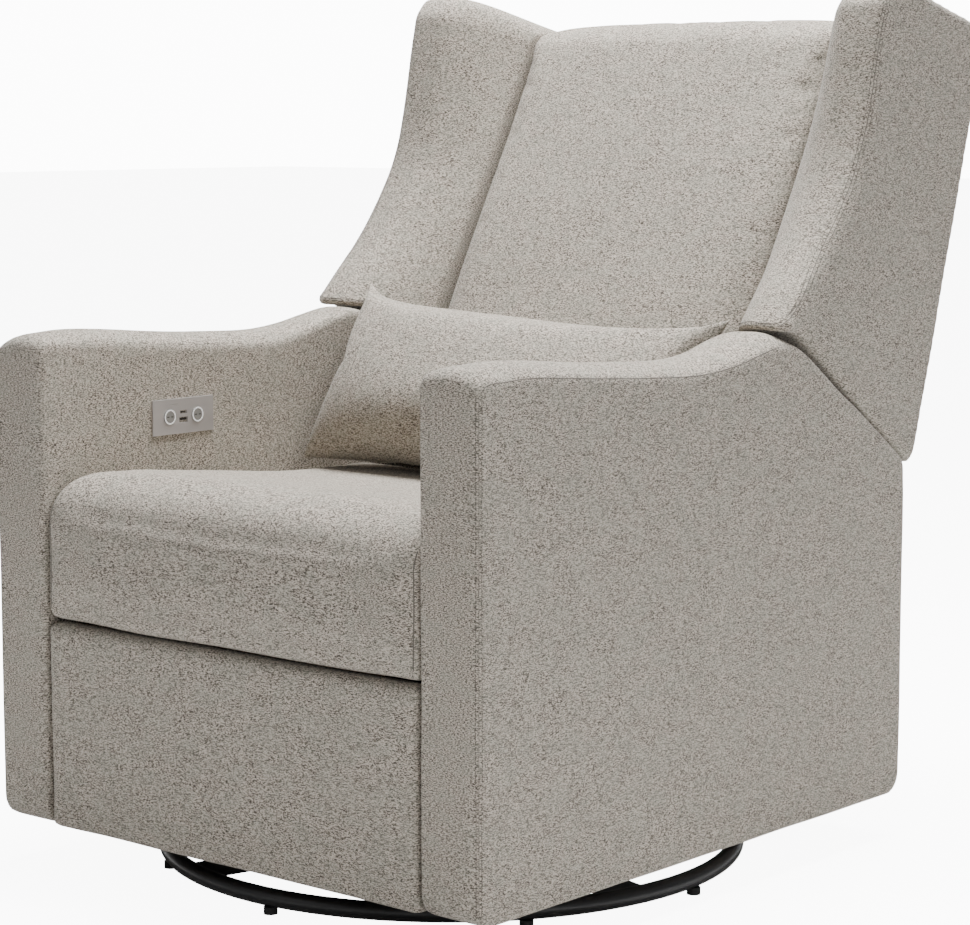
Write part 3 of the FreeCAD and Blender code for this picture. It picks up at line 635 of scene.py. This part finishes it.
def path_curve(name, points):
    curve = bpy.data.curves.new(name, "CURVE")
    curve.dimensions = "3D"
    spline = curve.splines.new("POLY")
    spline.points.add(len(points) - 1)
    for item, point in zip(spline.points, points):
        item.co = (*point, 1)
    return add_object(name, curve)


# %% [markdown]
# ## Sewing
# Two geometry node trees do all the sewing. Every seam and every row of stitches runs one of them.

# %% Node trees for sewing
def sewing_tree(name, sockets):
    tree = bpy.data.node_groups.new(name, "GeometryNodeTree")
    tree.interface.new_socket("Geometry", in_out="INPUT", socket_type="NodeSocketGeometry")
    for label, kind, value in sockets:
        socket = tree.interface.new_socket(label, in_out="INPUT", socket_type=kind)
        if value is not None:
            socket.default_value = value
    tree.interface.new_socket("Geometry", in_out="OUTPUT", socket_type="NodeSocketGeometry")
    return tree, add_node(tree, "NodeGroupInput"), add_node(tree, "NodeGroupOutput")


def finish_tree(tree, geometry, start, finish):
    realize = add_node(tree, "GeometryNodeRealizeInstances")
    paint = add_node(tree, "GeometryNodeSetMaterial")
    tree.links.new(geometry, realize.inputs[0])
    set_inputs(tree, paint, Geometry=realize.outputs[0], Material=start.outputs["Material"])
    tree.links.new(paint.outputs[0], finish.inputs[0])


def make_fold_tree():
    """Sweeps a round section along the path."""
    tree, start, finish = sewing_tree("swept_fold", (("Radius", "NodeSocketFloat", 0.001),
                                                     ("Spacing", "NodeSocketFloat", 0.004),
                                                     ("Material", "NodeSocketMaterial", None)))
    given = start.outputs
    even = add_node(tree, "GeometryNodeResampleCurve", mode="LENGTH")
    set_inputs(tree, even, Curve=given["Geometry"], Length=given["Spacing"])
    ring = add_node(tree, "GeometryNodeCurvePrimitiveCircle")
    set_inputs(tree, ring, Resolution=8, Radius=given["Radius"])
    sweep = add_node(tree, "GeometryNodeCurveToMesh")
    set_inputs(tree, sweep, Fill_Caps=True, Curve=even.outputs[0], Profile_Curve=ring.outputs[0])
    smooth = add_node(tree, "GeometryNodeSetShadeSmooth")
    tree.links.new(sweep.outputs[0], smooth.inputs[0])
    finish_tree(tree, smooth.outputs[0], start, finish)
    return tree


def make_stitch_tree():
    """Lays one small thread at every stitch of the path."""
    tree, start, finish = sewing_tree("stitch_row", (("Pitch", "NodeSocketFloat", 0.005),
                                                     ("Length", "NodeSocketFloat", 0.0035),
                                                     ("Thread", "NodeSocketFloat", 0.0005),
                                                     ("Material", "NodeSocketMaterial", None)))
    given = start.outputs
    row = add_node(tree, "GeometryNodeCurveToPoints", mode="LENGTH")
    set_inputs(tree, row, Curve=given["Geometry"], Length=given["Pitch"])
    thread = add_node(tree, "GeometryNodeMeshCylinder")
    set_inputs(tree, thread, Vertices=6, Radius=given["Thread"], Depth=given["Length"])
    instance = add_node(tree, "GeometryNodeInstanceOnPoints")
    set_inputs(tree, instance, Points=row.outputs["Points"], Rotation=row.outputs["Rotation"],
               Instance=thread.outputs["Mesh"])
    finish_tree(tree, instance.outputs[0], start, finish)
    return tree


FOLD_TREE = make_fold_tree()
STITCH_TREE = make_stitch_tree()
print("sewing trees:", FOLD_TREE.name, STITCH_TREE.name)


def run_tree(name, points, tree, body, **values):
    """Runs a sewing tree along a path and leaves a plain mesh riding on a body."""
    guide = path_curve(name + "_path", points)
    modifier = guide.modifiers.new("sewing", "NODES")
    modifier.node_group = tree
    for item in tree.interface.items_tree:
        if item.in_out == "INPUT" and item.name in values:
            modifier[item.identifier] = values[item.name]
    graph = bpy.context.evaluated_depsgraph_get()
    mesh = bpy.data.meshes.new_from_object(guide.evaluated_get(graph))
    piece = add_object(name, mesh)
    bpy.data.objects.remove(guide)
    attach(piece, body)


# A fold seam takes SHADOW_SEAM, the darker fabric that paints the shade of the seam's groove.
def fold_seam(name, points, body, radius):
    run_tree(name, points, FOLD_TREE, body, Radius=radius * MM, Material=SHADOW_SEAM)


# Stitches take the dark thread, which paints each stitch's small shadow as well.
def stitches(name, points, body):
    run_tree(name, points, STITCH_TREE, body, Material=THREAD_WITH_PAINTED_SHADE)


def clothe(piece, body):
    """Gives a soft piece its cover and the body it rides on."""
    piece.data.materials.clear()
    piece.data.materials.append(COVER)
    shade(piece, True)
    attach(piece, body)


def cover_up(piece, body, node):
    """Clothes a finished soft piece and puts it in place of its plain solid."""
    clothe(piece, body)
    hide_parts(node)
    print(piece.name, "faces:", len(piece.data.polygons))


# %% [markdown]
# ## Arms
# An arm is a board wrapped in foam: flat outside, a soft crown on top, square front. Its top dips in
# the middle, rises to a shoulder and slopes down under the wing. A seam runs along the outer top
# edge, and a double row of stitches runs down the front corner.

# %% Arm side view
ARM_TOP = [(411, 469), (385, 489), (344, 517), (306, 542), (268, 565), (232, 590), (200, 611),
           (172, 622), (142, 624), (106, 618), (53, 608), (-11, 603), (-103, 606), (-180, 611),
           (-257, 618), (-310, 621), (-345, 620)]
ARM_CROWN = 14.5


def arm_side_view():
    """Anticlockwise outline in (y, z), with the crown's share and firmness at each point."""
    outline = []
    r = 26
    outline += arc((FRONT + r, HEM + r), r, 180, 270)
    outline += line((FRONT + r, HEM), (ARM_REAR - r, HEM))
    outline += arc((ARM_REAR - r, HEM + r), r, 270, 360)
    outline += line((ARM_REAR, HEM + r), (ARM_REAR, 430))[1:]
    outline += smooth_path([(ARM_REAR, 430), (ARM_REAR - 1, 447)] + ARM_TOP)
    outline += smooth_path([(-362, 620), (-375, 618), (FRONT + 3, 612), (FRONT, 602)], 4)[:-1]
    outline += line((FRONT, 602), (FRONT, HEM + r))
    crown = []
    for (y, z), normal in zip(outline, outward_normals(outline)):
        facing_up = np.clip(normal[1], 0, 1) ** 1.5
        behind_front = 0.8 + 0.2 * np.clip((y - FRONT) / 45, 0, 1)
        before_wing = 1 - np.clip((y - 150) / 60, 0, 1)
        amount = facing_up * behind_front * before_wing
        firm = max(np.clip(y / 110, 0, 1), 1 - np.clip((y - FRONT) / 50, 0, 1))
        crown.append((amount, firm))
    return outline, crown


arm_outline, arm_crown = arm_side_view()


def arm_lift(index, outer_share):
    """Crown of an arm: nothing at the outer seam, full in the middle, less inside."""
    share, firm = arm_crown[index]
    if outer_share < 0.5:
        rise = 1 - (1 - outer_share / 0.5) ** 2.2
    else:
        rise = 1 - (1 - 0.75 * firm) * ((outer_share - 0.5) / 0.5) ** 3
    return share * ARM_CROWN * rise + (1 - share) * dome(outer_share, 4)


# %% [markdown]
# ## Arm covers
# One function makes either arm. The crown is higher over the outer half, and the seams are dropped
# onto the finished cover.

# %% Arm covers and their seams
def make_arm(side):
    sign = SIGNS[side]

    def lift(index, t):
        return arm_lift(index, t if sign < 0 else 1 - t)

    low, high = sorted((sign * ARM_INNER, sign * HALF_WIDTH))
    piece = crossed("arm_%s_upholstery" % side, arm_outline, low, high, 4, lift, top_corner=5)
    even_skin(piece, 4.0, 2)
    uneven(piece, 0.8, 110, 1 + sign)
    keep_inside(piece, (low * MM, -9, -9), (high * MM, 9, 9))
    cover_up(piece, "chair_body", "arm_cover_" + side)
    outer = sign * (HALF_WIDTH - 1.6)
    top = smooth_path([p for p in ARM_TOP if p[0] < 170] + [(-362, 620), (-375, 618), (-384, 612)], 4)
    top = [metres(outer, y, z + 0.5) for y, z in top]
    top = drop(top, piece, (0, 0, -1), 0.3)
    fold_seam("arm_%s_top_seam" % side, top, "chair_body", 0.65)
    # One row lies on the front of the corner seam, the other on its side.
    rows = ((HALF_WIDTH - 4.5, FRONT, 604, (0, 1, 0)), (HALF_WIDTH, FRONT + 5, 600, (-sign, 0, 0)))
    for number, (x, y, start, direction) in enumerate(rows):
        row = [metres(sign * x, y, z) for z in np.linspace(start, HEM + 8, 90)]
        row = drop(row, piece, direction, 0.1)
        stitches("arm_%s_corner_stitches_%d" % (side, number), row, "chair_body")
    corner = [metres(sign * (HALF_WIDTH - 1), FRONT + 1, z) for z in np.linspace(607, HEM + 6, 90)]
    corner = drop(corner, piece, (-sign * 0.7, 0.7, 0), 0.3)
    fold_seam("arm_%s_corner_seam" % side, corner, "chair_body", 0.45)


for side in SIGNS:
    make_arm(side)

# %% [markdown]
# ## Seat cushion
# The seat is a deep boxed cushion with a round nose. It is crowned from side to side and falls gently
# towards the back. Foam fills it tightly, so the cloth pass only swells it by a few millimetres.

# %% Seat
def make_seat():
    low, high = node_mm("seat_cushion")
    nose, chin, top = 52, 11, 468
    outline = chain([(FRONT + chin, low[2]), (high[1], low[2]), (high[1], 430)])
    outline += smooth_path([(high[1], 430), (high[1] - 12, 436), (60, 439), (-60, 446), (-180, 457),
                            (-270, 466), (FRONT + nose + 12, top)])
    outline += arc((FRONT + nose, top - nose), nose, 90, 180, 12)[1:]
    outline += line((FRONT, top - nose), (FRONT, low[2] + chin))[1:]
    outline += arc((FRONT + chin, low[2] + chin), chin, 180, 270, 6)[:-1]

    def lift(index, t):
        y, z = outline[index]
        upper = np.clip((z - 400) / 40, 0, 1) * np.clip((60 - y) / 260, 0.1, 1)
        return 4 * dome(t, 3) * upper + 3 * dome(t, 4) * (1 - upper)

    side = ARM_INNER - 0.6
    piece = crossed("seat_cushion_upholstery", outline, -side, side, 5, lift, top_corner=20)
    even_skin(piece, 5.0, 3)
    inflate(piece, 3.5)
    space = (metres(-side, -9000, low[2] - 1), metres(side, high[1], 9000))
    keep_inside(piece, *space)
    uneven(piece, 1.4, 130, 5)
    keep_inside(piece, *space)
    subdivide(piece)
    cover_up(piece, "chair_body", "seat_cushion")
    for name, sign in SIGNS.items():
        rise = [metres(sign * (side - 9), FRONT - 8, z) for z in np.linspace(low[2] + 14, 440, 50)]
        rise = drop(rise, piece, (0, 1, 0), 0.2)
        fold_seam("seat_side_seam_" + name, rise, "chair_body", 0.8)
    return piece


seat = make_seat()

# %% [markdown]
# ## Leg-rest pad
# Closed, the leg rest is the front panel: a thin flat pad with rounded corners, level with the arms.

# %% Leg rest
def make_leg_pad():
    low, high = node_mm("legrest_pad")
    r = 9
    front, rear, bottom, top = low[1], high[1], low[2], high[2]
    outline = arc((front + r, bottom + r), r, 180, 270)
    outline += chain([(front + r, bottom), (rear, bottom), (rear, top), (front + r, top)])
    outline += arc((front + r, top - r), r, 90, 180)
    outline += line((front, top - r), (front, bottom + r))[1:]

    def lift(index, t):
        return 1.5 * dome(t, 4) if outline[index][0] < front + 5 else 0.0

    piece = crossed("leg_rest_upholstery", outline, low[0], high[0], 6, lift)
    even_skin(piece, 4.5, 2)
    inflate(piece, 2)
    keep_inside(piece, (low[0] * MM, -9, bottom * MM - 0.001),
                (high[0] * MM, SWIVEL_Y + rear * MM, top * MM + 0.001))
    uneven(piece, 0.8, 100, 8)
    cover_up(piece, "footrest", "legrest_pad")


make_leg_pad()

# %% [markdown]
# ## Back cushion
# The back panel leans with the chair, crowned in the middle and stitched to both wings.

# %% Back
BACK_FOOT, BACK_FOOT_Z, BACK_LEAN, BACK_TOP = 155, 446, 0.547, 995


def back_face(z):
    """The front of the back panel at its edges, in mm about the swivel."""
    return BACK_FOOT + BACK_LEAN * (z - BACK_FOOT_Z)


def make_back():
    foot, top = node_mm("back_cushion")[0][2], BACK_TOP
    rear = [(back_face(foot) + 120, foot), (back_face(top) + 111, top - 11)]
    outline = chain([(back_face(foot), foot)] + rear)
    outline += smooth_path([rear[1], (back_face(top) + 100, top), (back_face(top) + 40, top + 3),
                            (back_face(top) + 6, top - 2), (back_face(top - 12), top - 14)])
    outline += line((back_face(top - 12), top - 14), (back_face(foot), foot))[1:]

    def lift(index, t):
        y, z = outline[index]
        facing = y < back_face(z) + 12
        return 9 * dome(t, 3) if facing else (4 * dome(t, 2) if z > top - 20 else 0.0)

    half = BACK_HALF - 0.4
    piece = crossed("back_upholstery", outline, -half, half, 15, lift)
    even_skin(piece, 6.0, 4)
    inflate(piece, 8)
    keep_inside(piece, (-half * MM, -9, foot * MM), (half * MM, 9, 9))
    uneven(piece, 1.6, 150, 11)
    subdivide(piece)
    cover_up(piece, "backrest", "back_cushion")
    return piece


back = make_back()

# %% [markdown]
# ## Back cheeks
# The wings end above the arms. Below them a plain padded cheek at each side closes the width from
# the back panel to the arm.

# %% Back cheeks
def make_back_cheek(side):
    sign = SIGNS[side]
    low, high = node_mm("back_cushion")
    foot, top = low[2] - 14, 618
    corners = [(back_face(foot) + 6, foot), (back_face(foot) + 100, foot), (386, 486), (300, 604),
               (back_face(top) + 8, top)]
    outline = chain(corners + corners[:1])[:-1]
    near, far = sorted((sign * (BACK_HALF - 6), sign * high[0]))
    piece = crossed("back_cheek_" + side, outline, near, far, 9, lambda i, t: 0.0)
    even_skin(piece, 5.0, 3)
    uneven(piece, 1.0, 90, 51 + sign)
    clothe(piece, "backrest")
    print(piece.name, "faces:", len(piece.data.polygons))


for side in SIGNS:
    make_back_cheek(side)

# %% [markdown]
# ## Wings
# A wing is a thick padded ear. Its inner face starts on the back panel and rolls forward into a
# round front edge; its outer face is flat and finishes level with the outside of the arm. The shape
# follows a rule: a side view at the panel, a side view at the front, and a blend between them.

# %% Wing side views
WING_FRONT = [(152, 646), (166, 660), (190, 684), (220, 713), (246, 743), (270, 776), (292, 812),
              (308, 849), (319, 888), (328, 929), (336, 975), (345, 1018)]
WING_SEAM = [(152, 646), (174, 659), (194, 679), (218, 710), (242, 740), (268, 772), (295, 811),
             (313, 849), (326, 885), (336, 925), (344, 962), (354, 1000), (361, 1022)]
WING_INNER_LOW, WING_INNER_HIGH = 622, BACK_TOP - 8
CREASE_DEPTH = -2


def wing_side_view(share):
    """Outline at one depth of the roll: share 0 at the back panel, 1 at the front edge."""
    front = []
    span = WING_FRONT[-1][1] - WING_FRONT[0][1]
    for y, z in WING_FRONT:
        rise = (z - WING_FRONT[0][1]) / span
        inner_z = WING_INNER_LOW + rise * (WING_INNER_HIGH - WING_INNER_LOW)
        inner = np.array((back_face(inner_z) + CREASE_DEPTH, inner_z))
        front.append(inner + share * (np.array((y, z)) - inner))
    inner_top = [(back_face(BACK_TOP) + dy, BACK_TOP + dz) for dy, dz in
                 ((2, -3), (8, 0), (35, 0), (80, -3), (104, -8), (122, -22))]
    outer_top = [(360, 1035), (374, 1042), (410, 1040), (500, 1016), (560, 1000), (578, 985)]
    top = [np.array(a) * (1 - share) + np.array(b) * share for a, b in zip(inner_top, outer_top)]
    rear = smooth_path([top[-1], (579, 955), (545, 838), (500, 682), (447, 502), (437, 476)], 12)
    foot = smooth_path([(437, 476), (431, 466), (419, 465), (405, 475)], 5)
    slope = np.array((206, 622)) * share + np.array((300, 612)) * (1 - share)
    toe = np.array((172, 639)) * share + np.array((back_face(624) + 18, 622)) * (1 - share)
    under = smooth_path([(405, 475), slope, toe], 10)
    lip = smooth_path([toe, (toe + front[0]) / 2 + np.array((-4, -4)), front[0]], 6)
    rise = smooth_path(front, 10)
    crown = smooth_path([front[-1]] + top, 8)
    loop = rise[:-1] + crown[:-1] + rear[:-1] + foot[:-1] + under[:-1] + lip[:-1]
    return [np.array(p) for p in loop]


def even_outline(points, count=260):
    """The same number of points on every section, evenly spaced from the same corner."""
    pts = np.array(points + [points[0]])
    lengths = np.concatenate(([0], np.cumsum(np.linalg.norm(np.diff(pts, axis=0), axis=1))))
    targets = np.linspace(0, lengths[-1], count, endpoint=False)
    return [np.array((np.interp(s, lengths, pts[:, 0]), np.interp(s, lengths, pts[:, 1])))
            for s in targets]


def roll_share(u):
    """How far forward the cover has come at share u of the wing's thickness."""
    return 1 - (1 - min(u / 0.62, 1)) ** 1.8


# %% [markdown]
# ## Wing covers
# The side views are lofted from the panel to the outside of the arm. The front edge has a seam with
# a row of topstitching on each side of it, and the hem has a seam of its own.

# %% Wings and their seams
def make_wing(side):
    sign = SIGNS[side]
    thickness = HALF_WIDTH - BACK_HALF
    corner = 18.0
    shares = list(np.linspace(0, 1 - corner / thickness, 20))
    shares += [1 - corner / thickness * (1 - math.sin(a)) for a in np.linspace(0.15, math.pi / 2, 9)]
    sections = []
    for u in shares:
        outline = even_outline(wing_side_view(roll_share(u)))[::-1]
        edge = (1 - u) * thickness
        x = sign * (BACK_HALF + u * thickness)
        section = []
        for point, normal in zip(outline, outward_normals(outline)):
            inset = round_off(edge, 6 + 12 * max(-normal[0], 0))
            section.append(metres(x, *(point - normal * inset)))
        sections.append(section)
    piece = loft("wing_%s_upholstery" % side, sections)
    even_skin(piece, 5.0, 4)
    uneven(piece, 1.0, 120, 20 + sign)
    low, high = sorted((sign * BACK_HALF, sign * HALF_WIDTH))
    keep_inside(piece, (low * MM, -9, -9), (high * MM, 9, cad_box[1][2]))
    cover_up(piece, "backrest", "wing_" + side)
    seam = [metres(sign * (HALF_WIDTH - 5), y, z) for y, z in smooth_path(WING_SEAM, 6)]
    seam = drop(seam, piece, (-sign * 0.8, 0.6, 0), 0.25)
    fold_seam("wing_%s_front_seam" % side, seam, "backrest", 0.6)
    for number, gap in enumerate((-4.5, 4.5)):
        row = smooth_path([(y + gap, z - gap * 0.4) for y, z in WING_SEAM[1:]], 6)
        row = [metres(sign * (HALF_WIDTH - 5), y, z) for y, z in row]
        row = drop(row, piece, (-sign * 0.8, 0.6, 0), 0.1)
        stitches("wing_%s_topstitch_%d" % (side, number), row, "backrest")
    # The hem's fold seam in the darker seam fabric is a line of painted shade along the underside of
    # the wing's front.
    hem = []
    for u in np.linspace(0.03, 0.97, 40):
        y, z = wing_side_view(roll_share(u))[0]
        hem.append(metres(sign * (BACK_HALF + u * thickness), y, z))
    hem = drop(hem, piece, (0, 0.8, 0.6), 0.2)
    fold_seam("wing_%s_hem_seam" % side, hem, "backrest", 0.6)


for side in SIGNS:
    make_wing(side)

# %% [markdown]
# ## Lumbar pillow
# A loose knife-edge pillow: two equal panels sewn round the edge and stuffed. Its edges pull in
# between the corners and the corners stay as small ears. It stands on the seat and leans back.

# %% Pillow
def pillow_point(u, v, side):
    """A point of the pillow: u across, v up its height, both from -1 to 1; side is -1, 0 or 1."""
    half_wide, half_high, half_thick = 282.0, 130.0, 60.0
    narrow = 1 - 0.035 * (1 - v * v) * abs(u) ** 3
    sag = 0.15 if v > 0 else 0.03
    short = 1 - sag * (1 - abs(u) ** 3.5) * abs(v) ** 2
    puff = ((1 - abs(u) ** 3.4) * (1 - abs(v) ** 2.8)) ** 0.7 * (1 - 0.2 * v)
    across, up, out = u * half_wide * narrow, v * half_high * short, side * half_thick * puff
    # The right top corner slumps down and back into the corner of the chair.
    slump = (u + 1) / 2 * (v + 1) / 2
    lean = math.radians(28)
    y = 90 + up * math.sin(lean) + out * math.cos(lean) + 42 * slump
    z = 561 + up * math.cos(lean) - out * math.sin(lean) - 27 * slump
    return metres(across, y, z)


def make_pillow():
    columns, rows = 91, 45
    verts, faces, index = [], [], {}
    for face, side in enumerate((-1, 1)):
        for j in range(rows):
            for i in range(columns):
                rim = i in (0, columns - 1) or j in (0, rows - 1)
                if face and rim:
                    index[face, i, j] = index[0, i, j]
                    continue
                index[face, i, j] = len(verts)
                u, v = 2 * i / (columns - 1) - 1, 2 * j / (rows - 1) - 1
                verts.append(pillow_point(u, v, 0 if rim else side))
        for j in range(rows - 1):
            for i in range(columns - 1):
                ring = [index[face, i, j], index[face, i + 1, j], index[face, i + 1, j + 1],
                        index[face, i, j + 1]]
                faces.append(tuple(ring if face == 0 else reversed(ring)))
    piece = new_piece("lumbar_pillow_cover", verts, faces)
    fix_normals(piece)
    inflate(piece, 12)
    uneven(piece, 2.5, 90, 31)
    seat_top = cover_tree(seat)
    back_front = cover_tree(back)
    points = read_points(piece)
    for k, p in enumerate(points):
        hit = back_front.ray_cast(Vector((p[0], -1.0, p[2])), Vector((0, 1, 0)))[0]
        if hit is not None and p[1] > hit[1] - 0.001:
            points[k][1] = hit[1] - 0.001
        hit = seat_top.ray_cast(Vector((p[0], p[1], 0.7)), Vector((0, 0, -1)))[0]
        if hit is not None and p[2] < hit[2] + 0.001:
            points[k][2] = hit[2] + 0.001
    write_points(piece, points)
    subdivide(piece)
    cover_up(piece, "pillow", "lumbar_pillow")


make_pillow()

# %% [markdown]
# ## Rear panels
# The outside back and the panel between the arms are flat covers over a board.

# %% Rear covers
def make_rear_panels():
    low, high = node_mm("rear_panel")
    corners = [(low[1], low[2]), (high[1], low[2]), (high[1], high[2]), (low[1], high[2])]
    outline = chain(corners + corners[:1], 8)
    lower = crossed("rear_panel_upholstery", outline, low[0], high[0], 4, lambda i, t: 0.0)
    even_skin(lower, 4.0, 2)
    cover_up(lower, "chair_body", "rear_panel")

    low, high = node_mm("outer_back")
    top = high[2]
    corners = [(high[1], top), (high[1] - 15, top), (412, 474), (385, 440), (385, low[2]),
               (400, low[2]), (400, 440), (427, 474)]
    outline = chain(corners + corners[:1])
    upper = crossed("outer_back_upholstery", outline, -BACK_HALF + 1, BACK_HALF - 1, 5,
                    lambda i, t: 2.0 * dome(t, 4))
    even_skin(upper, 5.0, 3)
    uneven(upper, 1.0, 140, 41)
    cover_up(upper, "backrest", "outer_back")
    # Below the wings the outside back is as wide as the space between the arms.
    corners = [(385, low[2] + 1), (400, low[2] + 1), (400, 440), (418, 462), (403, 462), (385, 440)]
    outline = chain(corners + corners[:1])
    skirt = crossed("outer_back_skirt", outline, low[0] + 1, high[0] - 1, 5, lambda i, t: 0.0)
    even_skin(skirt, 4.5, 3)
    clothe(skirt, "backrest")


make_rear_panels()

# %% [markdown]
# ## Control plate
# The plate is pressed steel with softened edges, so the ready-made shape is copied, its edges are
# bevelled, and the copy takes its place.

# %% Bevelled plate
def make_plate():
    source = frame["nodes"]["control_plate"]
    piece = add_object("control_plate_cover", source.data.copy())
    shape = bmesh.new()
    shape.from_mesh(piece.data)
    bmesh.ops.remove_doubles(shape, verts=shape.verts, dist=1e-6)
    bmesh.ops.dissolve_limit(shape, angle_limit=0.01, verts=shape.verts, edges=shape.edges)
    shape.to_mesh(piece.data)
    shape.free()
    bevel = piece.modifiers.new("soft edges", "BEVEL")
    bevel.width = 1.1 * MM
    bevel.segments = 3
    bevel.limit_method = "ANGLE"
    bake_modifiers(piece)
    shade(piece, False)
    piece.data.materials.clear()
    piece.data.materials.append(FINISHES["brushed_plate"])
    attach(piece, "chair_body")
    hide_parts("control_plate")
    return piece


plate = make_plate()
print("plate faces:", len(plate.data.polygons))

# %% [markdown]
# ## Stage, light and camera
# A pale floor and a bright plain surround, a large soft light overhead, a low one at the side and a
# weak one in front give the even shadows of a product sheet.

# %% Stage
def make_stage():
    size = 30.0
    floor = new_piece("studio_floor", [(-size, -size, 0), (size, -size, 0), (size, size, 0),
                                       (-size, size, 0)], [(0, 1, 2, 3)])
    paint, tree, shader = new_material("pale_floor")
    seen = add_node(tree, "ShaderNodeLightPath").outputs["Is Camera Ray"]
    set_inputs(tree, shader, Base_Color=(0.93, 0.93, 0.93, 1), Roughness=0.8,
               Emission_Color=(1, 1, 1, 1), Emission_Strength=times(tree, seen, 9.0))
    floor.data.materials.append(paint)
    world = bpy.data.worlds.new("studio")
    scene.world = world
    world.use_nodes = True
    tree = world.node_tree
    seen = add_node(tree, "ShaderNodeLightPath").outputs["Is Camera Ray"]
    strength = arithmetic(tree, "ADD", times(tree, seen, 12.0), 0.25)
    set_inputs(tree, tree.nodes["Background"], Color=(1, 1, 1, 1), Strength=strength)


def soft_light(name, place, aim, power, width):
    data = bpy.data.lights.new(name, "AREA")
    data.energy = power
    data.size = width
    lamp = add_object(name, data)
    lamp.location = place
    lamp.rotation_euler = (Vector(aim) - Vector(place)).to_track_quat("-Z", "Y").to_euler()


make_stage()
soft_light("overhead", (0.1, 0.45, 3.2), (0, 0.15, 0.4), 260, 1.6)
soft_light("key", (-1.2, -3.4, 2.2), (0, 0, 0.5), 6, 1.8)
soft_light("side", (2.5, -1.6, 0.8), (0, -0.2, 0.3), 13, 1.6)

# %% [markdown]
# ## Camera
# The camera stands a little above the seat, to the front and right, with a long lens.

# %% Camera
AZIMUTH, ELEVATION = math.radians(40.5184), math.radians(7.1094)
towards = Vector((math.sin(AZIMUTH) * math.cos(ELEVATION), -math.cos(AZIMUTH) * math.cos(ELEVATION),
                  math.sin(ELEVATION)))
lens = bpy.data.cameras.new("studio_camera")
lens.lens = 104.74
lens.sensor_width = 36
camera = add_object("studio_camera", lens)
camera.location = (2.2085, -2.5221 + SWIVEL_Y, 0.892)
camera.rotation_euler = (-towards).to_track_quat("-Z", "Y").to_euler()
scene.camera = camera
print("camera at", [round(v, 3) for v in camera.location], "lens %.0f mm" % lens.lens)

# %% [markdown]
# ## Finish
# The scene goes back to its first frame.

# %% Finish
scene.frame_set(1)
